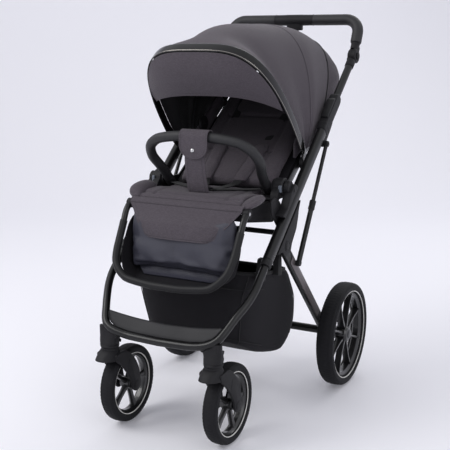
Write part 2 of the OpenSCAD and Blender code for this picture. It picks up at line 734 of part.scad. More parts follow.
mount_out = seat_half_w + 23;
bow_t = 3.6;
bow_ahead = bow_strip_w / 2 - 0.5;

crown_y = 440;
crown_drop = 0.00056;
bow_y = 132;
front_lift = 9;
function crown_at(y) = [y, crown_z - crown_drop * pow(y - crown_y, 2)
    + (y < crown_y ? front_lift * pow(sin(180 * (y - bow_y) / (crown_y - bow_y)), 2) : 0)];
// The bow is nearly square. The cloth behind it is rounder and a little narrower.
function squareness(k) = 2.15 + 0.75 * min(k / 0.7, 1) + 1.45 * exp(-pow(k / 0.08, 2));
waist = 14;
// Section k runs from the front bow, 0, to the rear rim, 1. Its outline is a rounded square arch.
function arch_y(k) = bow_y + k * 566;
function arch_half_w(k, r) = bow_half_w - 9 * k - waist * sin(180 * min(k / 0.65, 1))
    * min(r, 150) / 150 - 20 * pow(1 - min(r, 150) / 150, 2);
function arch_r(k) = norm(crown_at(arch_y(k)) - canopy_pivot);
function arch_dir(k) = unit(crown_at(arch_y(k)) - canopy_pivot);
function arch_point(k, t, out) =
    let (n = squareness(k), big = arch_r(k) + out, r = big * pow(sin(t), 2 / n), w = arch_half_w(k, r) + out)
    at_x(w * sign(cos(t)) * pow(abs(cos(t)), 2 / n), canopy_pivot + r * arch_dir(k));
arch_steps = [2.5, 5, 9, 14, 20, 27, 35, 44, 53, 62, 71, 80, 90];
arch_full = concat(arch_steps, [for (i = [len(arch_steps) - 2 : -1 : 0]) 180 - arch_steps[i]]);

function canopy_grid(k0, k1, rows, out) = [for (i = [0 : rows]) [for (t = arch_full) arch_point(k0 + (k1 - k0) * i / rows, t, out)]];
seam_k = 0.6;

// A bow stands in section k, with its ends at x on the pivots. The front one runs ahead of its section.
function ahead_of(k, mm) = at_x(0, mm * [-arch_dir(k)[1], arch_dir(k)[0]]);
module bow(k, out, x, width, ahead) {
    path = mirrored_path(concat([at_x(x, canopy_pivot + 8 * arch_dir(k))], [for (t = arch_steps)
        arch_point(k, t, out) + ahead_of(k, ahead * min(norm(arch_point(k, t, out) - at_x(arch_point(k, t, out)[0], canopy_pivot)) / 120, 1))]));
    shape = [[-width / 2, -bow_t / 2], [width / 2, -bow_t / 2], [width / 2 - 1.5, bow_t / 2], [1.5 - width / 2, bow_t / 2]];
    sweep(path, shape, at_x(0, [-arch_dir(k)[1], arch_dir(k)[0]]));
}

module canopy_mounts() color(plastic_black) placed() {
    both() rod_x(canopy_pivot, 17, arm_out + 0.1, mount_out);
    both() rod_x(canopy_pivot, 6, mount_out - 1, mount_out + 5);
    bow(seam_k, -canopy_t - gap - bow_t / 2 - 1, mount_out - 4, 12, 0);
}

// From the rear rim the cover closes down onto the top and the sides of the backrest
function curtain_end(t, out) =
    let (n = 2 / 12, rim = arch_point(1, t, out), w = (rim[2] - hub_at[1]) * back_dir[0] - (rim[1] - hub_at[0]) * back_dir[1])
    at_x((wing_out + 4 + canopy_t + out) * sign(cos(t)) * pow(abs(cos(t)), n),
        on_back(150 + (backrest_len + 5 + 2 * gap + canopy_t - 150 + out) * pow(sin(t), n), min(-28, w - 6)));
function curtain(out) = [for (i = [1 : 2]) [for (t = arch_full)
    let (a = arch_point(1, t, out), b = curtain_end(t, out)) a + (b - a) * i / 2]];

module canopy_rear() color(fabric_grey) placed()
    sheet(concat(canopy_grid(seam_k, 1, 4, 0), curtain(0)), concat(canopy_grid(seam_k, 1, 4, -canopy_t), curtain(-canopy_t)));
module canopy_front() color(fabric_grey) placed()
    sheet(canopy_grid(0.001, seam_k - 0.004, 10, 0), canopy_grid(0.001, seam_k - 0.004, 10, -canopy_t));

module canopy_bow() color(black) placed() difference() {
    union() {
        bow(0, 0.5 + bow_t / 2, mount_out + 3, bow_strip_w, bow_ahead);
        both() rod_x(canopy_pivot, 16, mount_out + gap, mount_out + 5.5);
    }
    both() rod_x(canopy_pivot, 6 + fit, mount_out - 3, mount_out + 7);
}

visor_low = [170, 868];
module canopy_visor() {
    cols = [for (t = arch_full) if (t >= 27 && t <= 153) (90 - t) / 63];
    function top_at(c) = arch_point(0, 90 - 63 * c, -0.5) + ahead_of(0, bow_ahead + bow_strip_w / 2 + 0.15);
    function low_at(c) = [(bow_half_w - 11) * c, visor_low[0] + 68 * pow(abs(c), 3), visor_low[1] - 36 * pow(abs(c), 3)];
    function row(k, off) = [for (c = cols) let (a = top_at(c), b = low_at(c)) a + (b - a) * k + [0, off - 14 * sin(180 * k) * (1 - c * c), 0]];
    color(fabric_grey) placed() sheet([for (k = [0 : 0.25 : 1]) row(k, -1)], [for (k = [0 : 0.25 : 1]) row(k, 1)]);
}

// ---------------------------------------------------------------- footrest

foot_out = seat_half_w + 11;
footrest_half = [[foot_out, 60, 581], [foot_out, 46, 566], [foot_out - 1, 30, 536], [foot_out - 2, 10, 500],
    [foot_out - 4, -6, 474], [foot_out - 10, -21, 450], [foot_out - 23, -32, 432], [foot_out - 40, -38, 418],
    [foot_out - 62, -42, 409], [54, -47, 403.5], [25, -48, 402.5], [0, -48, 402.5]];

module footrest_tube() {
    color(black) placed() {
        sweep(mirrored_path(smooth(footrest_half, 2)), circle_points(footrest_tube_d / 2, 14), [0, 1, -0.35]);
        both() difference() {
            rod_x(footrest_pivot, 13, seat_half_w + gap, foot_out + 7.5);
            rod_x(footrest_pivot, 5 + fit, seat_half_w, seat_half_w + 13);
        }
    }
}

module footrest_shell() {
    back = [[66, 552], [76.4, 500], [54, 430], [33, 408], [-37, 398.5], [-37, 402.5], [30, 412.5], [50, 434], [72.4, 500], [62, 552]];
    band = footrest_tube_d / 2 + 0.5;
    color(fabric_black) placed() {
        intersection() {
            plate(3 - seat_half_w, seat_half_w - 3) polygon(back);
            hull() {
                translate([3 - seat_half_w, -24, 470]) cube([2 * seat_half_w - 6, 124, 110]);
                translate([-110, -24, 376]) cube([220, 124, 30]);
            }
        }
        plate(-40, 40) polygon([[-20, 400.8], [-37, 398.5], [-37, 402.5], [-20, 405]]);
        difference() {
            rod_x([-48, 402.5], band + 2.5, -20, 20);
            rod_x([-48, 402.5], band, -23, 23);
        }
    }
}

module calf_pad() {
    color(navy) placed() hull() {
        for (s = [-1, 1]) {
            translate([s * (seat_half_w - 15), 48, 568]) sphere(r = 9, $fn = 20);
            translate([s * (seat_half_w - 18), 60.4, 500]) sphere(r = 11, $fn = 20);
            translate([s * (seat_half_w - 19), 43, 466]) sphere(r = 11, $fn = 20);
            translate([s * (seat_half_w - 29), 30, 437]) sphere(r = 12, $fn = 20);
        }
    }
}

// ---------------------------------------------------------------- bumper bar

bumper_foot = [226, 632];
bumper_slope = 133;
bumper_x = seat_half_w - 12;
function bumper_leg(u) = at_x(bumper_x, bumper_foot + polar(u, bumper_slope));
bumper_half = [bumper_leg(gap), bumper_leg(12), bumper_leg(24), [bumper_x + 4, 188, 672], [bumper_x + 11, 163, 700],
    [bumper_x + 1, 139, 730], [bumper_x - 23, 127, 749], [bumper_x - 55, 119, 758], [48, 112, 764],
    [0, bumper_mid[0], bumper_mid[1]]];
module bumper_bar() color("#26262a") placed() {
    sweep(mirrored_path(smooth(bumper_half, 2)), circle_points(bumper_r, 16), [0, 1, 0.6]);
    both() along(bumper_x, bumper_foot, bumper_slope) translate([0, 0, -20]) cylinder(r = 7, h = 24);
}

strap_half_w = 30;
flap_half_w = 41;
flap_len = 56;
strap_off = 6;
module crotch_strap() {
    wrap_in = bumper_r + 2.6;
    wrap_out = wrap_in + 3;
    centre = bumper_mid + [1, -0.7];
    color(fabric_grey) placed() translate([strap_off, 0, 0]) {
        difference() {
            rod_x(centre, wrap_out, -flap_half_w, flap_half_w);
            rod_x(centre, wrap_in, -flap_half_w - 1, flap_half_w + 1);
        }
        plate(-flap_half_w, flap_half_w) polygon([
            centre + [-wrap_out, 0], centre + [-wrap_in - 0.5, 0], centre + [-wrap_in - 0.5, -flap_len], centre + [-wrap_out, -flap_len]]);
        plate(-strap_half_w, strap_half_w) polygon([
            centre + [-wrap_in - 0.4, -16], centre + [-wrap_in + 3, -16], [126, seat_top_z + 17], [121, seat_top_z + 17]]);
    }
}

side_rails();
front_tube();
footboard();
stem_brackets();
leg_gussets();
cross_tube();
basket();
fold_housings();
upper_tubes();
tilt_knuckles();
seat_adapters();
rear_legs();
leg_covers();
rear_axle();
axle_blocks();
rear_tyre(left);  // left_rear_tyre
rear_tyre(right);  // right_rear_tyre
rear_rim(left);  // left_rear_rim
rear_rim(right);  // right_rear_rim
brake_pedal();
upper_strut(left);  // left_upper_strut
upper_strut(right);  // right_upper_strut
lower_strut(left);  // left_lower_strut
lower_strut(right);  // right_lower_strut
fork(left);  // left_fork
fork(right);  // right_fork
front_tyre(left);  // left_front_tyre
front_tyre(right);  // right_front_tyre
front_rim(left);  // left_front_rim
front_rim(right);  // right_front_rim
swivel_lock(left);  // left_swivel_lock
swivel_lock(right);  // right_swivel_lock
fold_slider(left);  // left_fold_slider
fold_slider(right);  // right_fold_slider
handle_hubs();
handle_grips();
handle_middle_piece();
fold_button();
tilt_button(left);  // left_tilt_button
tilt_button(right);  // right_tilt_button
seat_shell();
seat_cushion();
seat_hubs();
harness_buckle();
backrest_arms();
backrest_shell();
backrest_pad();
shoulder_harness();
canopy_mounts();
canopy_rear();
canopy_front();
canopy_bow();
canopy_visor();
footrest_tube();
footrest_shell();
calf_pad();
bumper_bar();
crotch_strap();
bumper_buttons();
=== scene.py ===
import bpy
import bmesh
from math import asin, atan2, copysign, cos, exp, hypot, pi, radians, sin, sqrt
from mathutils import Vector, Matrix, noise


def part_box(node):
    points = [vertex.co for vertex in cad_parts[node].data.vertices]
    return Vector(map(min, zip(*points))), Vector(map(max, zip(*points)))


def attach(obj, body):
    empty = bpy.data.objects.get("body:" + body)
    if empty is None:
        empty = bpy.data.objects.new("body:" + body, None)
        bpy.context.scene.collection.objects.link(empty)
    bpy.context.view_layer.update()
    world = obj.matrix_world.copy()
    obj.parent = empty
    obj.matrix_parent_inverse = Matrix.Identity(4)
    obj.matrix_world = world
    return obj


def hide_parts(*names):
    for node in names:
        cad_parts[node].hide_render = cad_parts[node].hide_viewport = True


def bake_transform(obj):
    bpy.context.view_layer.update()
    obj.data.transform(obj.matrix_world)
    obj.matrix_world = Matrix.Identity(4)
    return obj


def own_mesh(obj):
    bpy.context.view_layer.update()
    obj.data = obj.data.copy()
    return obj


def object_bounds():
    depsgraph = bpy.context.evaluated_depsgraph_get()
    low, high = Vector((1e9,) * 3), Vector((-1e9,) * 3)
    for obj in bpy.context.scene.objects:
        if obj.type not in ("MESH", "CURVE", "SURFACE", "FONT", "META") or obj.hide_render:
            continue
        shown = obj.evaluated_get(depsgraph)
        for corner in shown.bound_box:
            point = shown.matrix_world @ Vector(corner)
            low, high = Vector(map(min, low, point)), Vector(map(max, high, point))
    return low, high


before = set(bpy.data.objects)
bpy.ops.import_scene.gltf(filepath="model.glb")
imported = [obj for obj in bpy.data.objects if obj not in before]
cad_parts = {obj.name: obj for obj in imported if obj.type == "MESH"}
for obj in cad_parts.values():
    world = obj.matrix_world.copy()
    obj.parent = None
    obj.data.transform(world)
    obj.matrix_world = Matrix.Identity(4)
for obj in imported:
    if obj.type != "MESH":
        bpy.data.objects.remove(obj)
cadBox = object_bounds()
scene = bpy.context.scene
print("stage: frame loaded")

low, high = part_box("left_front_tyre")
axleY = (low.y + high.y) / 2  # everything below is counted from the front axle, in mm


def at(x, y, z):
    return Vector((x / 1000, axleY + y / 1000, z / 1000))


def atAll(points):
    return [at(*p) for p in points]


sides = (("left", 1), ("right", -1))
sideways, rearwards, upwards = (Vector(v) for v in ((1, 0, 0), (0, 1, 0), (0, 0, 1)))


view = {"lens": 71.35, "azimuth": 28.11, "pitch": 12.12, "roll": -0.28, "place": (1148.4, -1874.1, 1023.6)}
studio = {"floor": (0.86, 0.86, 0.9), "sky": (0.88, 0.88, 0.93), "skyStrength": 0.66,
          "glow": (0.9, 0.9, 1.0), "lift": 0.1,
          "low": (0.30, (0.8, 0.8, 0.89)), "high": (0.56, (0.89, 0.9, 0.94)), "key": 50, "fill": 13, "rim": 26}


def makeCamera():
    a, p, r = (radians(view[k]) for k in ("azimuth", "pitch", "roll"))
    forward = Vector((-sin(a) * cos(p), cos(a) * cos(p), -sin(p)))
    right = forward.cross(upwards).normalized()
    up = right.cross(forward)
    right, up = right * cos(r) + up * sin(r), up * cos(r) - right * sin(r)
    camera = bpy.data.objects.new("mainCamera", bpy.data.cameras.new("mainCamera"))
    camera.data.lens = view["lens"]
    camera.data.sensor_width = 36
    camera.data.clip_end = 40
    turn = Matrix((right, up, -forward)).transposed().to_4x4()
    camera.matrix_world = Matrix.Translation(at(*view["place"])) @ turn
    scene.collection.objects.link(camera)
    scene.camera = camera
    return camera


def areaLight(name, place, aim, size, power, colour=(1, 1, 1)):
    lamp = bpy.data.lights.new(name, "AREA")
    lamp.shape = "RECTANGLE"
    lamp.size, lamp.size_y = size
    lamp.energy = power
    lamp.color = colour
    holder = bpy.data.objects.new(name, lamp)
    holder.location = Vector(place)
    holder.rotation_euler = (Vector(aim) - Vector(place)).to_track_quat("-Z", "Y").to_euler()
    scene.collection.objects.link(holder)
    return holder


def seenRays(tree):  # 1 for the rays that show the room, 0 for those that light
    path = tree.nodes.new("ShaderNodeLightPath")
    kinds = ("Is Camera Ray", "Is Glossy Ray", "Is Transmission Ray")
    share = path.outputs[kinds[0]]
    for kind in kinds[1:]:
        both = tree.nodes.new("ShaderNodeMath")
        both.operation = "MAXIMUM"
        tree.links.new(share, both.inputs[0])
        tree.links.new(path.outputs[kind], both.inputs[1])
        share = both.outputs[0]
    return share


def makeStudio():
    scene.view_settings.view_transform = "Standard"
    world = bpy.data.worlds.new("paleRoom")
    scene.world = world
    world.use_nodes = True
    tree = world.node_tree
    tree.nodes.clear()
    out = tree.nodes.new("ShaderNodeOutputWorld")
    mix = tree.nodes.new("ShaderNodeMixShader")
    seen = tree.nodes.new("ShaderNodeBackground")
    given = tree.nodes.new("ShaderNodeBackground")
    ramp = tree.nodes.new("ShaderNodeValToRGB")
    where = tree.nodes.new("ShaderNodeTexCoord")
    split = tree.nodes.new("ShaderNodeSeparateXYZ")
    tree.links.new(where.outputs["Generated"], split.inputs[0])
    tree.links.new(split.outputs["Z"], ramp.inputs[0])
    for i, (spot, tint) in enumerate((studio["low"], studio["high"])):
        ramp.color_ramp.elements[i].position = spot
        ramp.color_ramp.elements[i].color = (*tint, 1)
    tree.links.new(ramp.outputs[0], seen.inputs["Color"])
    given.inputs["Color"].default_value = (*studio["sky"], 1)
    given.inputs["Strength"].default_value = studio["skyStrength"]
    tree.links.new(seenRays(tree), mix.inputs[0])
    tree.links.new(given.outputs[0], mix.inputs[1])
    tree.links.new(seen.outputs[0], mix.inputs[2])
    tree.links.new(mix.outputs[0], out.inputs[0])

    floorMesh = bpy.data.meshes.new("studioFloor")
    far, near, side = 2.6, -3.5, 4.0
    rise = []  # the floor turns up into a backdrop in one sweep
    for i in range(13):
        turn = radians(90 * i / 12)
        rise.append((far + 1.4 * sin(turn), 1.4 * (1 - cos(turn))))
    line = [(near, 0.0), (-1.0, 0.0), (0.8, 0.0)] + rise + [(far + 1.4, 5.0)]
    points, quads = [], []
    for y, z in line:
        points += [(-side, y, z), (side, y, z)]
    for i in range(len(line) - 1):
        quads.append((2 * i, 2 * i + 1, 2 * i + 3, 2 * i + 2))
    floorMesh.from_pydata(points, [], quads)
    floorMesh.polygons.foreach_set("use_smooth", [True] * len(floorMesh.polygons))
    floor = bpy.data.objects.new("studioFloor", floorMesh)
    floor.rotation_euler[2] = radians(view["azimuth"])
    floor.location.z = cadBox[0][2] - 0.0005
    scene.collection.objects.link(floor)
    paint = bpy.data.materials.new("paleFloor")
    paint.use_nodes = True
    tree = paint.node_tree
    shader = tree.nodes["Principled BSDF"]
    shader.inputs["Base Color"].default_value = (*studio["floor"], 1)
    shader.inputs["Roughness"].default_value = 0.75
    shader.inputs["Specular IOR Level"].default_value = 0.2
    shader.inputs["Emission Color"].default_value = (*studio["glow"], 1)
    more = tree.nodes.new("ShaderNodeMath")
    more.operation = "MULTIPLY"
    more.inputs[1].default_value = studio["lift"]
    tree.links.new(seenRays(tree), more.inputs[0])
    tree.links.new(more.outputs[0], shader.inputs["Emission Strength"])
    floorMesh.materials.append(paint)
    areaLight("keyLight", (-1.9, -1.9, 2.7), (0, 0.1, 0.5), (1.8, 1.8), studio["key"], (1, 0.99, 0.98))
    areaLight("fillLight", (2.8, -1.6, 1.7), (0, 0.1, 0.5), (1.6, 2.0), studio["fill"])
    areaLight("rimLight", (0.3, 2.6, 2.9), (0, 0.2, 0.7), (2.6, 1.2), studio["rim"])


makeCamera()
makeStudio()
print("stage: camera and light")


def newGroup(name, inputs, outputs):
    group = bpy.data.node_groups.new(name, "ShaderNodeTree")
    for label, kind, value in inputs:
        socket = group.interface.new_socket(name=label, in_out="INPUT", socket_type=kind)
        socket.default_value = value
    for label, kind in outputs:
        group.interface.new_socket(name=label, in_out="OUTPUT", socket_type=kind)
    return group, group.nodes.new("NodeGroupInput"), group.nodes.new("NodeGroupOutput")


number, colour = "NodeSocketFloat", "NodeSocketColor"


def sumUp(tree, operation, a, b=None, clamp=False):
    node = tree.nodes.new("ShaderNodeMath")
    node.operation = operation
    node.use_clamp = clamp
    for i, value in enumerate((a, b)):
        if value is None:
            continue
        if isinstance(value, (int, float)):
            node.inputs[i].default_value = value
        else:
            tree.links.new(value, node.inputs[i])
    return node.outputs[0]


def blendColours(tree, share, a, b, kind="MIX"):
    node = tree.nodes.new("ShaderNodeMix")
    node.data_type = "RGBA"
    node.blend_type = kind
    for socket, value in ((node.inputs[0], share), (node.inputs[6], a), (node.inputs[7], b)):
        if isinstance(value, (int, float)):
            socket.default_value = value
        elif isinstance(value, tuple):
            socket.default_value = value
        else:
            tree.links.new(value, socket)
    return node.outputs[2]


def noiseMap(tree, where, scale, detail=3.0, rough=0.55, stretch=None):
    if stretch:
        mapping = tree.nodes.new("ShaderNodeMapping")
        mapping.inputs["Scale"].default_value = stretch
        tree.links.new(where, mapping.inputs["Vector"])
        where = mapping.outputs[0]
    node = tree.nodes.new("ShaderNodeTexNoise")
    node.inputs["Detail"].default_value = detail
    node.inputs["Roughness"].default_value = rough
    if isinstance(scale, (int, float)):
        node.inputs["Scale"].default_value = scale
    else:
        tree.links.new(scale, node.inputs["Scale"])
    tree.links.new(where, node.inputs["Vector"])
    return node.outputs["Fac"]


def bumpFrom(tree, height, strength, distance):
    node = tree.nodes.new("ShaderNodeBump")
    for socket, value in ((node.inputs["Strength"], strength), (node.inputs["Distance"], distance)):
        if isinstance(value, (int, float)):
            socket.default_value = value
        else:
            tree.links.new(value, socket)
    tree.links.new(height, node.inputs["Height"])
    return node.outputs[0]


def makeWeaveGroup():
    group, start, end = newGroup("wovenThreads", [
        ("Thread mm", number, 1.1), ("Base", colour, (0.1, 0.09, 0.1, 1)), ("Fleck", colour, (0.2, 0.19, 0.21, 1)),
        ("Fleck Share", number, 0.5), ("Fold Shade", number, 0.2), ("Relief", number, 0.5)],
        [("Color", colour), ("Roughness", number), ("Height", number)])
    uv = group.nodes.new("ShaderNodeUVMap")
    uv.uv_map = "cloth"
    split = group.nodes.new("ShaderNodeSeparateXYZ")
    group.links.new(uv.outputs[0], split.inputs[0])
    pitch = sumUp(group, "DIVIDE", 2000 * pi, start.outputs["Thread mm"])
    waves = []
    for axis in ("X", "Y"):
        run = sumUp(group, "MULTIPLY", split.outputs[axis], pitch)
        waves.append(sumUp(group, "SINE", run))
    weave = sumUp(group, "MULTIPLY", waves[0], waves[1])
    weave = sumUp(group, "ADD", sumUp(group, "MULTIPLY", weave, 0.5), 0.5)
    where = group.nodes.new("ShaderNodeTexCoord")
    fleckA = noiseMap(group, where.outputs["Object"], 900.0, 2.0, 0.6, (1, 1, 0.25))
    fleckB = noiseMap(group, where.outputs["Object"], 700.0, 2.0, 0.6, (0.2, 1, 1))
    fleck = sumUp(group, "MULTIPLY", sumUp(group, "ADD", fleckA, fleckB), 0.5)
    fleck = sumUp(group, "MULTIPLY", sumUp(group, "SUBTRACT", fleck, 0.42), 5.0, True)
    fleck = sumUp(group, "MULTIPLY", fleck, start.outputs["Fleck Share"])
    body = blendColours(group, fleck, start.outputs["Base"], start.outputs["Fleck"])
    patch = noiseMap(group, where.outputs["Object"], 9.0, 4.0, 0.6)
    patch = sumUp(group, "MULTIPLY", sumUp(group, "SUBTRACT", 1.0, patch), start.outputs["Fold Shade"])
    body = blendColours(group, patch, body, (0.0, 0.0, 0.0, 1))
    threads = sumUp(group, "MULTIPLY", sumUp(group, "SUBTRACT", 1.0, weave), 0.22)
    body = blendColours(group, threads, body, (0.0, 0.0, 0.0, 1))
    group.links.new(body, end.inputs["Color"])
    rough = sumUp(group, "ADD", 0.84, sumUp(group, "MULTIPLY", weave, -0.12))
    group.links.new(rough, end.inputs["Roughness"])
    group.links.new(sumUp(group, "MULTIPLY", weave, start.outputs["Relief"]), end.inputs["Height"])
    return group


def makeGrainGroup():
    group, start, end = newGroup("surfaceGrain", [
        ("Grain Scale", number, 900.0), ("Base", colour, (0.02, 0.02, 0.02, 1)),
        ("Worn", colour, (0.06, 0.06, 0.06, 1)),
        ("Wear", number, 0.3), ("Roughness", number, 0.5), ("Roughness Spread", number, 0.12)],
        [("Color", colour), ("Roughness", number), ("Height", number)])
    where = group.nodes.new("ShaderNodeTexCoord")
    fine = noiseMap(group, where.outputs["Object"], start.outputs["Grain Scale"], 2.0, 0.5)
    broad = noiseMap(group, where.outputs["Object"], 14.0, 5.0, 0.6)
    shape = group.nodes.new("ShaderNodeNewGeometry")
    edge = sumUp(group, "MULTIPLY", sumUp(group, "SUBTRACT", shape.outputs["Pointiness"], 0.52), 9.0, True)
    worn = sumUp(group, "MULTIPLY", sumUp(group, "MULTIPLY", edge, broad), start.outputs["Wear"], True)
    tint = blendColours(group, worn, start.outputs["Base"], start.outputs["Worn"])
    shade = sumUp(group, "MULTIPLY", broad, 0.25)
    tint = blendColours(group, shade, tint, (0.0, 0.0, 0.0, 1))
    group.links.new(tint, end.inputs["Color"])
    spread = sumUp(group, "MULTIPLY", sumUp(group, "SUBTRACT", broad, 0.5), start.outputs["Roughness Spread"])
    group.links.new(sumUp(group, "ADD", start.outputs["Roughness"], spread, True), end.inputs["Roughness"])
    group.links.new(fine, end.inputs["Height"])
    return group


def makeHideGroup():
    group, start, end = newGroup("leatherHide", [
        ("Pore Scale", number, 520.0), ("Base", colour, (0.04, 0.04, 0.05, 1)),
        ("Crease", colour, (0.01, 0.01, 0.015, 1)),
        ("Crease Share", number, 0.4), ("Roughness", number, 0.45)],
        [("Color", colour), ("Roughness", number), ("Height", number)])
    where = group.nodes.new("ShaderNodeTexCoord")
    cells = group.nodes.new("ShaderNodeTexVoronoi")
    cells.feature = "DISTANCE_TO_EDGE"
    group.links.new(where.outputs["Object"], cells.inputs["Vector"])
    group.links.new(start.outputs["Pore Scale"], cells.inputs["Scale"])
    pore = sumUp(group, "MULTIPLY", cells.outputs["Distance"], 6.0, True)
    crease = noiseMap(group, where.outputs["Object"], 26.0, 5.0, 0.62, (1, 1, 0.45))
    deep = sumUp(group, "MULTIPLY", sumUp(group, "SUBTRACT", crease, 0.5), 3.2, True)
    share = sumUp(group, "MULTIPLY", deep, start.outputs["Crease Share"])
    tint = blendColours(group, share, start.outputs["Base"], start.outputs["Crease"])
    gap = sumUp(group, "MULTIPLY", sumUp(group, "SUBTRACT", 1.0, pore), 0.35)
    tint = blendColours(group, gap, tint, start.outputs["Crease"])
    group.links.new(tint, end.inputs["Color"])
    group.links.new(sumUp(group, "ADD", start.outputs["Roughness"], sumUp(group, "MULTIPLY", crease, 0.16), True),
                    end.inputs["Roughness"])
    group.links.new(sumUp(group, "ADD", sumUp(group, "MULTIPLY", pore, 0.35), sumUp(group, "MULTIPLY", crease, 0.9)),
                    end.inputs["Height"])
    return group


weaveGroup = makeWeaveGroup()
grainGroup = makeGrainGroup()
hideGroup = makeHideGroup()


def startMaterial(name, group, values):
    material = bpy.data.materials.new(name)
    material.use_nodes = True
    tree = material.node_tree
    shader = tree.nodes["Principled BSDF"]
    use = tree.nodes.new("ShaderNodeGroup")
    use.node_tree = group
    for label, value in values.items():
        use.inputs[label].default_value = value
    tree.links.new(use.outputs["Color"], shader.inputs["Base Color"])
    tree.links.new(use.outputs["Roughness"], shader.inputs["Roughness"])
    return material, tree, shader, use


def clothMaterial(name, base, fleck, share=0.5, thread=1.1, relief=0.6, sheen=0.25, fold=0.2):
    material, tree, shader, use = startMaterial(name, weaveGroup, {
        "Base": (*base, 1), "Fleck": (*fleck, 1), "Fleck Share": share, "Thread mm": thread,
        "Relief": relief, "Fold Shade": fold})
    tree.links.new(bumpFrom(tree, use.outputs["Height"], 0.45, 0.0005), shader.inputs["Normal"])
    shader.inputs["Sheen Weight"].default_value = sheen
    shader.inputs["Sheen Roughness"].default_value = 0.5
    shader.inputs["Specular IOR Level"].default_value = 0.25
    return material


def hardMaterial(name, base, worn, rough, grain=900.0, bump=0.08, wear=0.3, metallic=0.0,
        coat=0.0, specular=0.5, spread=0.12):
    material, tree, shader, use = startMaterial(name, grainGroup, {
        "Base": (*base, 1), "Worn": (*worn, 1), "Roughness": rough, "Grain Scale": grain,
        "Wear": wear, "Roughness Spread": spread})
    tree.links.new(bumpFrom(tree, use.outputs["Height"], bump, 0.0004), shader.inputs["Normal"])
    shader.inputs["Metallic"].default_value = metallic
    shader.inputs["Coat Weight"].default_value = coat
    shader.inputs["Coat Roughness"].default_value = 0.08
    shader.inputs["Specular IOR Level"].default_value = specular
    return material


def hideMaterial(name, base, crease, rough, pores=520.0, bump=0.3, share=0.4):
    material, tree, shader, use = startMaterial(name, hideGroup, {
        "Base": (*base, 1), "Crease": (*crease, 1), "Roughness": rough, "Pore Scale": pores, "Crease Share": share})
    tree.links.new(bumpFrom(tree, use.outputs["Height"], bump, 0.0012), shader.inputs["Normal"])
    shader.inputs["Specular IOR Level"].default_value = 0.45
    return material


paints = {
    "melange": clothMaterial("greyMelange", (0.079, 0.067, 0.081), (0.15, 0.132, 0.154), 0.5, 1.1, 0.6, 0.1),
    # a darker copy of the grey melange, painted shade: it dresses the undersides of the seat flap and the straps, and
    # the flap's fold cord
    "melangeShaded": clothMaterial("greyMelangeShadedCopy", (0.055, 0.047, 0.056), (0.10, 0.09, 0.105), 0.5, 1.1, 0.6, 0.08),
    "lining": clothMaterial("blackLining", (0.006, 0.0055, 0.007), (0.012, 0.011, 0.013), 0.3, 0.8, 0.4, 0.05),
    "basketCloth": clothMaterial("basketCanvas", (0.0075, 0.0068, 0.009), (0.014, 0.0125, 0.017), 0.4, 1.6, 0.8, 0.0),
    "webbing": clothMaterial("blackWebbing", (0.008, 0.008, 0.009), (0.02, 0.02, 0.022), 0.5, 2.2, 1.0, 0.1),
    "slate": hideMaterial("slateHide", (0.04, 0.0405, 0.058), (0.016, 0.017, 0.026), 0.4, 560.0, 0.35, 0.45),
    "grip": hideMaterial("gripHide", (0.014, 0.014, 0.016), (0.006, 0.006, 0.007), 0.46, 640.0, 0.3, 0.3),
    "frame": hardMaterial("satinBlackPaint", (0.006, 0.006, 0.0065), (0.04, 0.04, 0.04), 0.3,
        1500.0, 0.03, 0.2, 0.0, 0.06, 0.32),
    "plastic": hardMaterial("blackPlastic", (0.009, 0.009, 0.0102), (0.028, 0.028, 0.03), 0.5,
        1400.0, 0.12, 0.3, 0.0, 0.0, 0.25),
    "plasticSoft": hardMaterial("mattBlackPlastic", (0.0105, 0.0102, 0.012), (0.03, 0.03, 0.033), 0.58,
        1100.0, 0.2, 0.3, 0.0, 0.0, 0.25),
    "bronze": hardMaterial("bronzeGreyCover", (0.13, 0.112, 0.118), (0.18, 0.16, 0.16),
        0.36, 1800.0, 0.05, 0.3, 0.35),
    "rubber": hardMaterial("tyreRubber", (0.0095, 0.0095, 0.0115), (0.022, 0.022, 0.025), 0.7,
        700.0, 0.3, 0.4, 0.0, 0.0, 0.22),
    "ring": hardMaterial("whiteRing", (0.8, 0.79, 0.76), (0.7, 0.7, 0.68), 0.5, 900.0, 0.05, 0.1),
    "gloss": hardMaterial("glossBlack", (0.003, 0.003, 0.0032), (0.01, 0.01, 0.01), 0.1, 500.0,
        0.0, 0.1, 0.0, 0.3, 0.18, 0.03),
    "champagne": hardMaterial("smokeLine", (0.3, 0.28, 0.26), (0.4, 0.38, 0.35), 0.16, 900.0, 0.02, 0.1, 1.0),
    "steel": hardMaterial("polishedSteel", (0.6, 0.6, 0.6), (0.7, 0.7, 0.7), 0.22, 900.0, 0.02, 0.1, 1.0),
    "buttonGrey": hardMaterial("buttonGrey", (0.13, 0.15, 0.185), (0.2, 0.22, 0.25), 0.42, 1200.0, 0.08, 0.3),
    "thread": hardMaterial("sewingThread", (0.03, 0.027, 0.032), (0.05, 0.05, 0.05), 0.8, 2500.0, 0.2, 0.0),
    "threadDark": hardMaterial("blackThread", (0.02, 0.02, 0.022), (0.03, 0.03, 0.03), 0.75, 2500.0, 0.2, 0.0),
}
print("stage: materials")


def addMesh(name, points, faces, paint, smooth=True, sharpAngle=38):
    mesh = bpy.data.meshes.new(name)
    mesh.from_pydata([tuple(p) for p in points], [], faces)
    mesh.validate()
    piece = bpy.data.objects.new(name, mesh)
    scene.collection.objects.link(piece)
    mesh.materials.append(paints[paint])
    outward(mesh)
    if smooth:
        softenEdges(mesh, sharpAngle)
    return piece


def outward(mesh):
    work = bmesh.new()
    work.from_mesh(mesh)
    bmesh.ops.recalc_face_normals(work, faces=work.faces)
    work.to_mesh(mesh)
    work.free()


def softenEdges(mesh, angle=38):
    mesh.polygons.foreach_set("use_smooth", [True] * len(mesh.polygons))
    mesh.set_sharp_from_angle(angle=radians(angle))


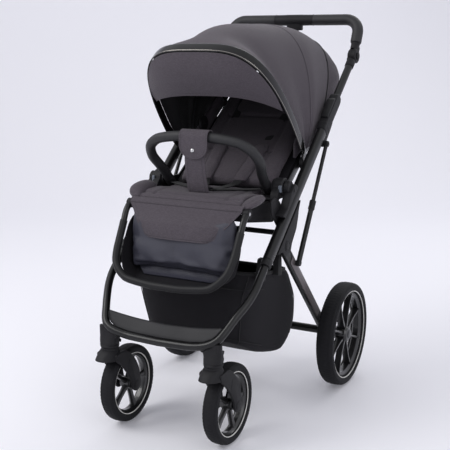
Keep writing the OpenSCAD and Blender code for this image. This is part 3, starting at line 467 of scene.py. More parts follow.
def bake(piece):  # turns the modifiers into plain mesh
    bpy.context.view_layer.update()
    graph = bpy.context.evaluated_depsgraph_get()
    made = bpy.data.meshes.new_from_object(piece.evaluated_get(graph))
    piece.modifiers.clear()
    old = piece.data
    piece.data = made
    bpy.data.meshes.remove(old)
    return piece


def bevelled(piece, width, segments=2, angle=32):
    bevel = piece.modifiers.new("edge", "BEVEL")
    bevel.width = width / 1000
    bevel.segments = segments
    bevel.limit_method = "ANGLE"
    bevel.angle_limit = radians(angle)
    bake(piece)
    softenEdges(piece.data, 42)
    return piece


def subdivided(piece, levels=1):
    more = piece.modifiers.new("smoother", "SUBSURF")
    more.levels = more.render_levels = levels
    bake(piece)
    piece.data.polygons.foreach_set("use_smooth", [True] * len(piece.data.polygons))
    return piece


def joined(name, pieces):
    work = bmesh.new()
    materials = []
    for piece in pieces:
        mesh = piece.data
        order = []
        for material in mesh.materials:
            if material not in materials:
                materials.append(material)
            order.append(materials.index(material))
        start = len(work.faces)
        work.from_mesh(mesh)
        work.faces.ensure_lookup_table()
        for face in work.faces[start:]:
            face.material_index = order[face.material_index] if order else 0
    mesh = bpy.data.meshes.new(name)
    work.to_mesh(mesh)
    work.free()
    for material in materials:
        mesh.materials.append(material)
    for piece in pieces:
        bpy.data.objects.remove(piece)
    whole = bpy.data.objects.new(name, mesh)
    scene.collection.objects.link(whole)
    return whole


def place(piece, body, slot, *replaced):
    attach(piece, body)
    if replaced:
        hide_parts(*replaced)
    return piece


def spline(points, steps):
    out = []
    for i in range(len(points) - 1):
        a, b, c, d = (points[min(max(j, 0), len(points) - 1)] for j in (i - 1, i, i + 1, i + 2))
        for k in range(steps):
            t = k / steps
            out.append(0.5 * (2 * b + (c - a) * t + (2 * a - 5 * b + 4 * c - d) * t * t
                + (3 * b - a - 3 * c + d) * t ** 3))
    return out + [points[-1]]


def acrossPath(points):
    return points + [Vector((-p.x, p.y, p.z)) for p in reversed(points[:-1])]


def oval(wide, deep, count=20, power=2.0):
    out = []
    for i in range(count):
        a = 2 * pi * i / count
        c, s = cos(a), sin(a)
        out.append((wide / 2000 * copysign(abs(c) ** (2 / power), c),
            deep / 2000 * copysign(abs(s) ** (2 / power), s)))
    return out


def swept(name, path, section, side, paint, scaleAt=None, closedEnds=True, sharpAngle=50, loop=False):
    points, faces = [], []
    count = len(section)
    for i, p in enumerate(path):
        ahead = path[(i + 1) % len(path)] if loop else path[min(i + 1, len(path) - 1)]
        behind = path[i - 1] if loop else path[max(i - 1, 0)]
        along = (ahead - behind).normalized()
        v = along.cross(side(p) if callable(side) else side).normalized()
        u = v.cross(along)
        grow = scaleAt(i / (len(path) - 1)) if scaleAt else 1
        points += [p + (u * a + v * b) * grow for a, b in section]
    for i in range(len(path) if loop else len(path) - 1):
        j = (i + 1) % len(path)
        for k in range(count):
            faces.append((i * count + k, i * count + (k + 1) % count, j * count + (k + 1) % count, j * count + k))
    if closedEnds and not loop:
        faces.append(tuple(reversed(range(count))))
        faces.append(tuple(range((len(path) - 1) * count, len(path) * count)))
    return addMesh(name, points, faces, paint, True, sharpAngle)


def lathe(name, profile, centre, paint, count=64, sharpAngle=35, closed=True):
    points, faces = [], []  # profile is (radius, along), both in mm, listed round the section
    for i in range(count):
        a = 2 * pi * i / count
        for r, x in profile:
            points.append(centre + Vector((x, r * cos(a), r * sin(a))) / 1000)
    n = len(profile)
    for i in range(count):
        j = (i + 1) % count
        for k in range(n if closed else n - 1):
            m = (k + 1) % n
            faces.append((i * n + k, i * n + m, j * n + m, j * n + k))
    piece = addMesh(name, points, faces, paint, False)
    work = bmesh.new()
    work.from_mesh(piece.data)
    bmesh.ops.remove_doubles(work, verts=work.verts, dist=1e-6)
    bmesh.ops.dissolve_degenerate(work, edges=work.edges, dist=1e-7)
    bmesh.ops.recalc_face_normals(work, faces=work.faces)
    work.to_mesh(piece.data)
    work.free()
    softenEdges(piece.data, sharpAngle)
    return piece


def drum(low, high, lowRadius, radius, highRadius, lowCut, highCut, bore=0.001):
    return [(bore, low), (lowRadius, low), (radius, low + lowCut), (radius, high - highCut),
        (highRadius, high), (bore, high)]


def slab(name, outline, x0, x1, paint, bevel=1.2, segments=2):
    n = len(outline)  # outline is (y, z) in mm, drawn in the side view
    points = [at(x0, y, z) for y, z in outline] + [at(x1, y, z) for y, z in outline]
    faces = [tuple(range(n)), tuple(reversed(range(n, 2 * n)))]
    faces += [(i, (i + 1) % n, n + (i + 1) % n, n + i) for i in range(n)]
    piece = addMesh(name, points, faces, paint, False)
    return bevelled(piece, bevel, segments)


def rounded(outline, radius, steps=5):  # rounds the corners of a drawn outline
    out = []
    n = len(outline)
    for i in range(n):
        p, a, b = (Vector(outline[j % n]) for j in (i, i - 1, i + 1))
        toA, toB = a - p, b - p
        cut = min(radius, toA.length * 0.45, toB.length * 0.45)
        start, end = p + toA.normalized() * cut, p + toB.normalized() * cut
        for k in range(steps + 1):
            t = k / steps
            out.append(tuple((1 - t) ** 2 * start + 2 * t * (1 - t) * p + t * t * end))
    return out


def button(name, centre, axis, radius, height, paint, dome=0.3, count=24):
    axis = axis.normalized()
    side = axis.orthogonal().normalized()
    other = axis.cross(side)
    rings = [(1.0, 0.0), (1.0, height * 0.6), (0.93, height * 0.85), (0.75, height * (0.9 + dome * 0.4)),
        (0.4, height * (1 + dome * 0.8)), (0.0001, height * (1 + dome))]
    points, faces = [], []
    for share, up in rings:
        for i in range(count):
            a = 2 * pi * i / count
            points.append(centre + (side * cos(a) + other * sin(a)) * radius * share / 1000 + axis * up / 1000)
    for j in range(len(rings) - 1):
        for i in range(count):
            k = (i + 1) % count
            faces.append((j * count + i, j * count + k, (j + 1) * count + k, (j + 1) * count + i))
    faces.append(tuple(reversed(range(count))))
    return addMesh(name, points, faces, paint, True, 30)


def stitches(name, path, outDirection, paint, pitch=4.5, length=3.0, radius=0.55):
    points, faces = [], []
    gone, want = 0.0, pitch / 2
    for i in range(len(path) - 1):
        a, b = path[i], path[i + 1]
        span = (b - a).length * 1000
        if span < 1e-6:
            continue
        along = (b - a).normalized()
        while gone + span >= want:
            centre = a + along * (want - gone) / 1000
            up = (outDirection(centre) if callable(outDirection) else outDirection).normalized()
            side = along.cross(up).normalized()
            base = len(points)
            for share, lift in ((-0.5, -0.3), (-0.3, 0.55), (0.3, 0.55), (0.5, -0.3)):
                for a2 in (-1, 0, 1):
                    points.append(centre + along * length * share / 1000
                                  + side * a2 * radius / 1000 + up * (lift - 0.35 * abs(a2)) * radius / 1000)
            for r in range(3):
                for c in range(2):
                    k = base + r * 3 + c
                    faces.append((k, k + 1, k + 4, k + 3))
            want += pitch
        gone += span
    if not points:
        return None
    mesh = bpy.data.meshes.new(name)
    mesh.from_pydata([tuple(p) for p in points], [], faces)
    mesh.polygons.foreach_set("use_smooth", [True] * len(faces))
    mesh.materials.append(paints[paint])
    piece = bpy.data.objects.new(name, mesh)
    scene.collection.objects.link(piece)
    return piece


def clothUv(piece):  # lays the weave in metres along each face's own plane
    mesh = piece.data
    layer = mesh.uv_layers.get("cloth") or mesh.uv_layers.new(name="cloth")
    for face in mesh.polygons:
        n = face.normal
        flat = max(range(3), key=lambda k: abs(n[k]))
        a, b = [k for k in range(3) if k != flat]
        for loop in face.loop_indices:
            co = mesh.vertices[mesh.loops[loop].vertex_index].co
            layer.data[loop].uv = (co[a], co[b])
    return piece


def gridSheet(name, rows, paint, thickness=2.0, lining=None, loops=2, offset=-1.0):
    points = [p for row in rows for p in row]  # rows of equal length, a cloth grid with its weave along it
    cols = len(rows[0])
    faces = [(i * cols + j, i * cols + j + 1, (i + 1) * cols + j + 1, (i + 1) * cols + j)
             for i in range(len(rows) - 1) for j in range(cols - 1)]
    mesh = bpy.data.meshes.new(name)
    mesh.from_pydata([tuple(p) for p in points], [], faces)
    piece = bpy.data.objects.new(name, mesh)
    scene.collection.objects.link(piece)
    mesh.materials.append(paints[paint])
    mesh.materials.append(paints[lining or paint])
    layer = mesh.uv_layers.new(name="cloth")
    across = [[0.0] for _ in rows]
    for i, row in enumerate(rows):
        for j in range(1, cols):
            across[i].append(across[i][-1] + (row[j] - row[j - 1]).length)
    down = [[0.0] * cols]
    for i in range(1, len(rows)):
        down.append([down[-1][j] + (rows[i][j] - rows[i - 1][j]).length for j in range(cols)])
    for face in mesh.polygons:
        for loop in face.loop_indices:
            i, j = divmod(mesh.loops[loop].vertex_index, cols)
            layer.data[loop].uv = (across[i][j] - across[i][-1] / 2, down[i][cols // 2] * 0.5 + down[i][j] * 0.5)
    width = max(a[-1] for a in across)
    length = max(down[-1])
    area = sum(p.area for p in mesh.polygons)
    if loops > 1:
        subdivided(piece, loops - 1)
    if thickness:
        thick = piece.modifiers.new("thickness", "SOLIDIFY")
        thick.thickness = thickness / 1000
        thick.offset = offset
        thick.material_offset = 1
        thick.material_offset_rim = 0
        bake(piece)
    softenEdges(piece.data, 60)
    piece["cut"] = (width, length, area)
    return piece


def declareSheet(piece):
    width, length, area = piece["cut"]
    box = width * length
    if not 0.3 * box <= area <= box:
        length = area / (0.85 * width)


def noiseAt(p, scale, seed=0.0):
    return noise.noise(Vector((p.x * scale + seed, p.y * scale - seed, p.z * scale + 2 * seed)))


puffing = {"frames": 20, "stiffness": 12.0, "bending": 0.6, "quality": 4}


def puff(piece, voxel, pressure, cap):
    remesh = piece.modifiers.new("even", "REMESH")
    remesh.mode = "VOXEL"
    remesh.voxel_size = voxel / 1000
    bake(piece)
    mesh = piece.data
    rest = [v.co.copy() for v in mesh.vertices]
    cloth = piece.modifiers.new("cloth", "CLOTH")
    cloth.settings.use_pressure = True
    cloth.settings.uniform_pressure_force = pressure
    cloth.settings.tension_stiffness = puffing["stiffness"]
    cloth.settings.compression_stiffness = puffing["stiffness"]
    cloth.settings.bending_stiffness = puffing["bending"]
    cloth.settings.effector_weights.gravity = 0
    cloth.settings.quality = puffing["quality"]
    cloth.collision_settings.use_collision = False
    cloth.collision_settings.use_self_collision = False
    cloth.point_cache.frame_start = 1
    cloth.point_cache.frame_end = puffing["frames"]
    for step in range(1, puffing["frames"] + 1):
        scene.frame_set(step)
    graph = bpy.context.evaluated_depsgraph_get()
    swollen = [v.co.copy() for v in piece.evaluated_get(graph).data.vertices]
    piece.modifiers.clear()
    scene.frame_set(1)
    for v, start, end in zip(mesh.vertices, rest, swollen):
        move = end - start
        if move.length > cap / 1000:
            move *= cap / 1000 / move.length
        v.co = start + move
    even = piece.modifiers.new("relax", "SMOOTH")
    even.factor = 0.5
    even.iterations = 4
    subdivided(piece, 1)
    return piece


def pressSeam(piece, path, depth, width):
    mesh = piece.data  # draws the surface in along a sewn line
    normals = [v.normal.copy() for v in mesh.vertices]
    for v, n in zip(mesh.vertices, normals):
        best = 1e9
        for a, b in zip(path, path[1:]):
            span = b - a
            t = min(max((v.co - a).dot(span) / max(span.length_squared, 1e-12), 0), 1)
            best = min(best, (v.co - a - span * t).length)
            if best < width / 6000:
                break
        if best < width * 2.5 / 1000:
            v.co -= n * depth / 1000 * exp(-(best * 1000 / width) ** 2)
    mesh.update()


def wrinkle(piece, amount, scale, seed, stretch=(1, 1, 1)):
    mesh = piece.data
    normals = [v.normal.copy() for v in mesh.vertices]
    for v, n in zip(mesh.vertices, normals):
        p = Vector((v.co.x * stretch[0], v.co.y * stretch[1], v.co.z * stretch[2]))
        v.co += n * amount / 1000 * noiseAt(p, scale, seed)
    mesh.update()


def boxPad(name, frameAt, wide, tall, thick, paint, cuts=(10, 10, 3)):
    nx, ny, nz = cuts  # a closed pad, drawn in its own plane by frameAt(u, v, w)
    index, points, faces = {}, [], []

    def point(i, j, k):
        if (i, j, k) not in index:
            index[i, j, k] = len(points)
            points.append(frameAt((i / nx - 0.5) * wide, (j / ny - 0.5) * tall, (k / nz - 0.5) * thick))
        return index[i, j, k]

    for i in range(nx):
        for j in range(ny):
            faces.append((point(i, j, 0), point(i, j + 1, 0), point(i + 1, j + 1, 0), point(i + 1, j, 0)))
            faces.append((point(i, j, nz), point(i + 1, j, nz), point(i + 1, j + 1, nz), point(i, j + 1, nz)))
    for k in range(nz):
        for i in range(nx):
            faces.append((point(i, 0, k), point(i + 1, 0, k), point(i + 1, 0, k + 1), point(i, 0, k + 1)))
            faces.append((point(i, ny, k), point(i, ny, k + 1), point(i + 1, ny, k + 1), point(i + 1, ny, k)))
        for j in range(ny):
            faces.append((point(0, j, k), point(0, j, k + 1), point(0, j + 1, k + 1), point(0, j + 1, k)))
            faces.append((point(nx, j, k), point(nx, j + 1, k), point(nx, j + 1, k + 1), point(nx, j, k + 1)))
    return addMesh(name, points, faces, paint, False)


def ringAt(centre, rx, ry, power=2.0, count=32, tilt=0.0):
    out = []
    for a, b in oval(2 * rx, 2 * ry, count, power):
        out.append(centre + Vector((a, b, b * tilt)))
    return out


def loft(name, rings, paint, caps=True, sharpAngle=45):
    n = len(rings[0])
    points = [p for ring in rings for p in ring]
    faces = []
    for i in range(len(rings) - 1):
        for k in range(n):
            j = (k + 1) % n
            faces.append((i * n + k, i * n + j, (i + 1) * n + j, (i + 1) * n + k))
    if caps:
        faces.append(tuple(reversed(range(n))))
        faces.append(tuple(range((len(rings) - 1) * n, len(rings) * n)))
    return addMesh(name, points, faces, paint, True, sharpAngle)


# hub is half of its section; spoke is its start, its gap to the rim, two widths, half its depth and its dish
frontWheel = {"centre": (153, 0, 105), "radius": 105, "width": 40, "bead": 0.77,
              "ring": 0.795, "treads": 64, "deep": 7,
              "spokes": 5, "turn": 0, "spoke": (12, 3, 16, 21, 7.5, 1.5),
              "hub": ((0.001, 19), (8, 19), (14, 17), (16, 12), (15, 5))}
rearWheel = {"centre": (266.5, 513, 152.5), "radius": 152.5, "width": 51, "bead": 0.82,
             "ring": 0.845, "treads": 92, "deep": 9,
             "spokes": 8, "turn": 0.5, "spoke": (20, 4, 12, 8.5, 11.5, 2.5),
             "hub": ((0.001, 22), (12, 22), (20, 19), (24, 13), (22, 6))}
rearAxle = rearWheel["centre"][1:]


def tyreHalfWidth(v, r):
    inner, outer = v["bead"] * v["radius"], v["radius"]
    c = min(abs((r - (inner + outer) / 2) / ((outer - inner) / 2)), 1) ** (1 / 0.75)
    return v["width"] / 2 * sqrt(max(1 - c * c, 0)) ** 0.6


def makeTyre(name, v, centre):
    inner, outer = v["bead"] * v["radius"], v["radius"]
    profile = []
    for k in range(36):
        a = 2 * pi * k / 36
        c, s = cos(a), sin(a)
        r = (inner + outer) / 2 + (outer - inner) / 2 * copysign(abs(c) ** 0.75, c)
        x = v["width"] / 2 * copysign(abs(s) ** 0.6, s)
        profile.append((r, x, c))
    count = v["treads"] * 4
    points, faces = [], []
    for i in range(count):
        a = 2 * pi * i / count
        for k, (r, x, c) in enumerate(profile):
            cut = 0.0
            if c > 0.12:  # blocks on the tread, staggered from row to row
                row = k if k <= 18 else 36 - k
                step = (i + (2 if row % 4 < 2 else 0)) % 4
                cut = (1.1 if step == 0 else 0.15) + (1.2 if row in (2, 5) else 0.0)
                cut *= min(1.0, (c - 0.12) * 5)
            points.append(centre + Vector((x, (r - cut) * cos(a), (r - cut) * sin(a))) / 1000)
    n = len(profile)
    for i in range(count):
        j = (i + 1) % count
        for k in range(n):
            m = (k + 1) % n
            faces.append((i * n + k, i * n + m, j * n + m, j * n + k))
    return addMesh(name, points, faces, "rubber", True, 50)


def makeWhiteRings(name, v, centre):
    bands = []
    r = v["ring"] * v["radius"]
    for side in (-1, 1):
        x = tyreHalfWidth(v, r) * side
        top = x + 0.5 * side
        profile = [(r - 1.75, x - 1.2 * side), (r - 1.7, top - 0.2 * side), (r - 1.2, top),
                   (r + 1.2, top), (r + 1.7, top - 0.2 * side), (r + 1.75, x - 1.2 * side)]
        bands.append(lathe(name + str(side), profile, centre, "ring", 128))
    return joined(name, bands)


def spokeBlock(name, centre, angle, r0, r1, w0, w1, x0, x1, paint, dish):
    steps = 6
    along = Vector((0, cos(angle), sin(angle)))
    across = Vector((0, -sin(angle), cos(angle)))
    points, faces = [], []
    for i in range(steps + 1):
        t = i / steps
        r = r0 + (r1 - r0) * t
        w = (w0 + (w1 - w0) * t) * (1 - 0.25 * sin(pi * t))
        lean = dish * sin(pi * t)
        for x, s in ((x0 + lean, -0.62), (x0 + lean, 0.62), ((x0 + x1) / 2, 1), (x1 - lean, 0.62),
                (x1 - lean, -0.62), ((x0 + x1) / 2, -1)):
            points.append(centre + (along * r + across * w / 2 * s + Vector((x, 0, 0))) / 1000)
    for i in range(steps):
        for k in range(6):
            j = (k + 1) % 6
            faces.append((i * 6 + k, i * 6 + j, (i + 1) * 6 + j, (i + 1) * 6 + k))
    faces += [tuple(reversed(range(6))), tuple(range(steps * 6, steps * 6 + 6))]
    return addMesh(name, points, faces, paint, True, 28)


def bothWays(half):  # a section that is the same on both sides of its middle
    return [(r, -x) for r, x in half] + [(r, x) for r, x in reversed(half)]


def makeRim(name, v, centre):
    bead, half, deep = v["bead"] * v["radius"] - 0.1, v["width"] * 0.25, v["deep"]
    ring = [(bead, half), (bead + 2.2 * 0.4, half + 1.2), (bead - 1.5, half + 1.8), (bead - 3, half - 0.6),
            (bead - deep * 0.6, half - 2), (bead - deep, half - 4.5)]
    parts = [lathe(name + "Ring", bothWays(ring), centre, "rim", 128, 30),
        lathe(name + "Hub", bothWays(v["hub"]), centre, "rim", 64, 30)]
    start, gap, w0, w1, reach, dish = v["spoke"]
    for i in range(v["spokes"]):
        a = 2 * pi * (i + v["turn"]) / v["spokes"]
        parts.append(spokeBlock(name + "Spoke" + str(i), centre, a, start, bead - gap, w0,
            w1, -reach, reach, "rim", dish))
    return joined(name, parts)


paints["rim"] = hardMaterial("rimBlack", (0.0085, 0.0085, 0.0095), (0.03, 0.03, 0.032),
    0.3, 900.0, 0.03, 0.3, 0.0, 0.35)
paints["hubGrey"] = hardMaterial("hubGrey", (0.075, 0.077, 0.083), (0.12, 0.12, 0.125), 0.38, 1100.0, 0.06, 0.3)

for side, sx in sides:
    for end, v in (("front", frontWheel), ("rear", rearWheel)):
        x, y, z = v["centre"]
        centre, name, body = at(x * sx, y, z), side + end.title(), side + "_" + end
        place(makeTyre(name + "Tyre", v, centre), body + "_wheel", "tyre_rubber", body + "_tyre")
        place(makeWhiteRings(name + "WhiteRings", v, centre), body + "_wheel", "tyre_rubber")
        place(makeRim(name + "Rim", v, centre), body + "_wheel", "plastic_black", body + "_rim")
    cap = button(side + "RearHubCap", at((x + 21.6) * sx, y, z), Vector((sx, 0, 0)), 12.5, 2.4, "hubGrey", 0.5, 40)
    place(cap, side + "_rear_wheel", "button_grey")
print("stage: wheels")


forkShape = {"x": 153, "y": -75, "bladeOff": 27.5, "bladeHalf": 4}


def makeFork(side, sx):
    x0, y0 = forkShape["x"] * sx, forkShape["y"]
    parts, rings = [], []
    for z, rx, ry, dy, p in ((206, 27, 22, 2, 2.6), (213, 27.5, 23, 1, 2.5), (220, 25, 23, 0, 2.3),
            (226, 23.2, 22.8, 0, 2.1), (230.6, 22.8, 22.6, 0, 2.0), (230.8, 21.5, 21.5, 0, 2.0)):
        rings.append(ringAt(at(x0, y0 + dy, z), rx, ry, p, 40))
    parts.append(loft("crown", rings, "plasticSoft"))
    rows = []
    for i in range(9):  # the lip over the front of the wheel
        t = i / 8
        reach = 20 + 26 * t
        z = 223 - 22 * t ** 1.6
        row = []
        for j in range(25):
            a = radians(182 + 176 * j / 24)
            row.append(at(x0 + copysign(abs(cos(a)) ** 0.75, cos(a)) * (21 + 6.8 * t),
                y0 + sin(a) * reach, z - 3 * t * abs(cos(a)) ** 3))
        rows.append(row)
    lip = gridSheet("lip", rows, "plasticSoft", 3.0, None, 1)
    parts.append(bevelled(lip, 0.9, 2, 50))
    outline = [(y0 - 19, 214), (y0 - 12, 195), (y0 + 12, 176), (y0 + 34, 150), (-19, 117), (-19, 98),
               (-8, 87), (8, 87), (19, 98), (19, 112),
               (12, 150), (y0 + 72, 178), (y0 + 46, 205), (y0 + 24, 219)]
    for s in (-1, 1):
        mid = x0 + s * forkShape["bladeOff"]
        blade = slab("blade", rounded(outline, 12, 5), mid - forkShape["bladeHalf"],
            mid + forkShape["bladeHalf"], "plasticSoft", 2.2, 3)
        parts.append(blade)
        parts.append(button("bolt", at(mid + s * 3.9, 0, 105), Vector((s, 0, 0)), 12.5, 1.6, "plastic", 0.4, 36))
        groove = rounded([(y0 + 30, 158), (-12, 118), (-12, 104), (0, 95), (10, 104), (6, 118),
            (y0 + 62, 172), (y0 + 42, 190)], 8, 4)
        parts.append(slab("ridge", groove, mid + s * 3.5 - 0.7, mid + s * 3.5 + 1.1, "plasticSoft", 0.6, 2))
    return joined(side + "Fork", parts)


def makeBracket(side, sx):
    x0, y0 = forkShape["x"] * sx, forkShape["y"]
    rings = []
    for z, rx, ry, dx, dy, p in ((231.8, 22.6, 21.4, 0.3, 0, 2.2), (232.2, 24, 22.6, 0.4, 0, 2.3),
                                 (238, 24.3, 22, 0.5, 0, 2.5), (239, 23, 20.8, 0.5, 0, 2.5),
                                 (240, 24, 21.4, 0.6, 0, 2.6), (250, 24.6, 18, 1, 0, 3.0),
                                 (260, 25, 13.5, 1, -0.5, 3.2), (270, 25, 9.5, 1, -3, 3.4),
                                 (280, 22, 8, 4, -3.5, 3.4), (288, 19, 7, 7, -3.8, 3.2),
                                 (288.6, 16, 5, 7, -3.8, 3.0)):
        rings.append(ringAt(at(x0 + dx * sx, y0 + dy, z), rx, ry, p, 40))
    parts = [loft("bracket", rings, "plasticSoft")]
    top = [ringAt(at(x0, y0 + dy, z), rx, ry, 3.2, 40)
        for z, rx, ry, dy in ((256, 16, 12, 2), (264, 17.4, 14.5, 4.5), (284, 17, 14.5, 5), (286, 14, 11, 5))]
    parts.append(loft("bracketTop", top, "plasticSoft"))
    outline = [(-21, 248), (-24, 262), (-30, 271), (-37.5, 278), (-30, 279.5), (0, 279.5), (0, 248)]
    flare = []  # the fillet that runs in under the tube
    for y, tuck in ((-85.5, 1.5), (-84, 0), (-74, 0), (-72.5, 1.5)):
        flare.append([at(x0 + sx * (a + tuck), y, z - tuck * 0.5) for a, z in outline])
    parts.append(bevelled(loft("flare", flare, "plasticSoft"), 0.5, 2))
    parts.append(button("screwFront", at(x0 + 12 * sx, y0 - 11.5, 269),
        Vector((0, -1, 0.12)), 4.4, 1.0, "plastic", 0.3, 24))
    parts.append(button("screwInner", at(x0 - 26 * sx, y0 - 10.8, 268),
        Vector((0, -1, 0)), 3.4, 1.0, "plastic", 0.3, 20))
    for lug in (-10, 10):
        parts.append(slab("lug", rounded([(-65, 250), (-40, 251), (-39, 261), (-65, 263)], 4, 4), x0 + lug - 2,
            x0 + lug + 2, "plasticSoft", 0.7, 2))
    return joined(side + "StemBracket", parts)


def makeSwivelLock(side, sx):
    x0, y0 = forkShape["x"] * sx, forkShape["y"]
    outline = rounded([(y0 + 25, 234), (y0 + 36, 234), (y0 + 36, 243), (y0 + 34, 256), (y0 + 31, 261),
        (y0 + 27, 258), (y0 + 25, 246)], 3, 4)
    body = slab("lever", outline, x0 - 7.5, x0 + 7.5, "plastic", 1.2, 2)
    pad = slab("toe", rounded([(y0 + 30, 234.2), (y0 + 36, 234.2), (y0 + 36, 242.5), (y0 + 31, 242.5)], 2, 3),
        x0 - 10.8, x0 + 10.8, "plastic", 1.2, 2)
    return joined(side + "SwivelLock", [body, pad])


stemBrackets = []
for side, sx in sides:
    place(makeFork(side, sx), side + "_fork", "plastic_black", side + "_fork")
    stemBrackets.append(makeBracket(side, sx))
    place(makeSwivelLock(side, sx), side + "_swivel_lock", "plastic_black", side + "_swivel_lock")
place(stemBrackets[0], "chassis", "plastic_black", "stem_brackets")
place(stemBrackets[1], "chassis", "plastic_black")
print("stage: forks")


railShape = {"x": 213, "slope": 40, "wide": 25, "deep": 32, "start": (100, 457)}
tiltPivot = (694.45, 955.80)
handleTurn = radians(65)


def railYz(s, n=0.0):
    c, k = cos(radians(railShape["slope"])), sin(radians(railShape["slope"]))
    return railShape["start"][0] + s * c + n * k, railShape["start"][1] + s * k - n * c


def railPoint(x, s, n=0.0):
    return at(x, *railYz(s, n))


def makeFrontTube():
    ends = [railPoint(railShape["x"], s) for s in (36, -40, -88)] + atAll([
        (206, 3, 374), (192, -27, 347), (183, -44, 328), (169, -68, 302), (154, -79, 289), (129, -83, 279),
        (90, -82, 272), (42, -82, 270), (0, -82, 269)])
    path = acrossPath(spline(ends, 5))
    tube = swept("tube", path, oval(20.4, 20.4, 24), Vector((0, 1, -1)), "frame")
    sleeves = []
    for sx in (1, -1):  # the collar where the front tube enters the rail
        sleeves.append(swept("sleeve", [railPoint(railShape["x"] * sx, s) for s in (-14, -12.5, 3, 4.8)],
                             oval(25.6, 32.4, 36, 2.5), sideways, "plastic",
                             lambda t: 0.93 if t < 0.1 or t > 0.9 else 1.0))
    return joined("frontTube", [tube] + sleeves)


place(makeFrontTube(), "chassis", "frame_black", "front_tube")

rails, uppers, housings, knuckles = [], [], [], []
for sx in (1, -1):
    x = railShape["x"] * sx
    rails.append(swept("rail", [railPoint(x, s) for s in (5, 120, 240, 360, 459.6)],
        oval(railShape["wide"], railShape["deep"], 40, 2.7), sideways, "frame"))
    uppers.append(swept("upper", [railPoint(x, s) for s in (600, 650, 700, 751.8)],
        oval(22, 22, 32), sideways, "frame"))
    box = [railYz(s, n) for s, n in ((460.2, -15.5), (468, -17), (592, -17), (599.6, -14), (599.6, 14),
        (588, 17), (472, 17), (460.2, 15.5))]
    housings.append(slab("housing", rounded(box, 6, 4), x - 12.8, x + 12.8, "plasticSoft", 3.2, 3))
    band = [railYz(s, n) for s, n in ((478, -17.3), (486, -17.3), (486, 17.3), (478, 17.3))]
    housings.append(slab("step", band, x - 13, x + 13, "plasticSoft", 0.8, 2))
    cap = [railYz(s, n) for s, n in ((584, -14), (603, -11.5), (603, 11.5), (584, 14))]
    housings.append(slab("cap", rounded(cap, 3, 3), x - 11.9, x + 11.9, "plastic", 1.5, 2))
    lug = [railYz(s, n) for s, n in ((462, 16), (549, 16), (519, 30), (441, 38), (431, 30), (431, 20), (444, 17.5))]
    low, high = sorted((206 * sx, 219.5 * sx))
    housings.append(slab("lug", rounded(lug, 5, 4), low, high, "plasticSoft", 1.6, 3))
    housings.append(button("lugPin", railPoint(232.6 * sx, 441, 27),
        Vector((sx, 0, 0)), 6.2, 1.8, "plastic", 0.4, 28))
    collar = [railPoint(x, s) for s in (728, 729.5, 741, 742, 752.5, 754)]
    knuckles.append(swept("collar", collar, oval(26.4, 26.4, 36), sideways, "plasticSoft",
        lambda t: 0.94 if t < 0.05 or t > 0.95 else 1.0))
    low, high = sorted((x - 11.9 * sx, x - 0.4 * sx))
    disc = drum(low, high, 18.5, 20.8, 20, 2.2, 0.8)
    knuckles.append(lathe("disc", disc, at(0, *tiltPivot), "plasticSoft", 48, 30))
    neck = [railYz(s, n) for s, n in ((750, -11), (776, -13), (776, 13), (750, 11))]
    knuckles.append(slab("neck", neck, low + 0.4, high - 0.2, "plasticSoft", 1.8, 3))
place(joined("sideRails", rails), "chassis", "frame_black", "side_rails")
place(joined("upperTubes", uppers), "chassis", "frame_black", "upper_tubes")
place(joined("foldHousings", housings), "chassis", "plastic_black", "fold_housings")
place(joined("tiltKnuckles", knuckles), "chassis", "plastic_black", "tilt_knuckles")
for side, sx in sides:
    x = railShape["x"] * sx
    grip = [railYz(s, n) for s, n in ((500, -17.5), (574, -17.5), (574, -21), (566, -24.2), (512, -24.2), (500, -21))]
    parts = [slab("slide", rounded(grip, 2.5, 3), x - 10.8, x + 10.8, "plastic", 1.0, 2)]
    for k in range(5):
        s = 523.5 + 7 * k
        parts.append(slab("rib", [railYz(s - 1.1, -23.6), railYz(s + 1.1, -23.6), railYz(s + 0.8, -24.4),
            railYz(s - 0.8, -24.4)], x - 9, x + 9, "plastic", 0.3, 1))
    place(joined(side + "FoldSlider", parts), side + "_fold_slider", "plastic_black", side + "_fold_slider")
place(lathe("crossTube", [(6.95, -201.5), (6.95, 201.5)], at(0, 197, 514), "frame", 32, closed=False),
    "chassis", "frame_black", "cross_tube")


def onHandle(x, u, out=0.0):
    c, k = cos(handleTurn), sin(handleTurn)
    return at(x, tiltPivot[0] + u * c + out * k, tiltPivot[1] + u * k - out * c)


gusset = rounded([railYz(38, 16.1), railYz(228, 16.1), (273, 566), (268, 545), (258, 517), (228, 480), (222, 462),
    (200, 452), (180, 458), (172, 470)], 7, 4)
gussets = []
for sx in (1, -1):
    for x0, x1 in ((199.7, 203.5), (217.5, 225.4)):
        low, high = sorted((x0 * sx, x1 * sx))
        gussets.append(slab("gusset", gusset, low, high, "plasticSoft", 1.5, 3))
    gussets.append(button("pivotCap", at(225.2 * sx, 200, 480), Vector((sx, 0, 0)), 11, 1.8, "plastic", 0.5, 36))
    rim = lathe("pivotRing", [(15, 225.2 * sx), (15, 226.3 * sx), (12.6, 226.3 * sx), (12.6, 225.2 * sx)],
        at(0, 200, 480), "plasticSoft", 40, 30)
    gussets.append(rim)
place(joined("legGussets", gussets), "chassis", "plastic_black", "leg_gussets")

legs, covers, blocks = [], [], []
legTop = (200, 480)
legTurn = atan2(rearAxle[1] - legTop[1], rearAxle[0] - legTop[0])


def legYz(r, off=0.0):
    c, k = cos(legTurn), sin(legTurn)
    return legTop[0] + r * c - off * k, legTop[1] + r * k + off * c


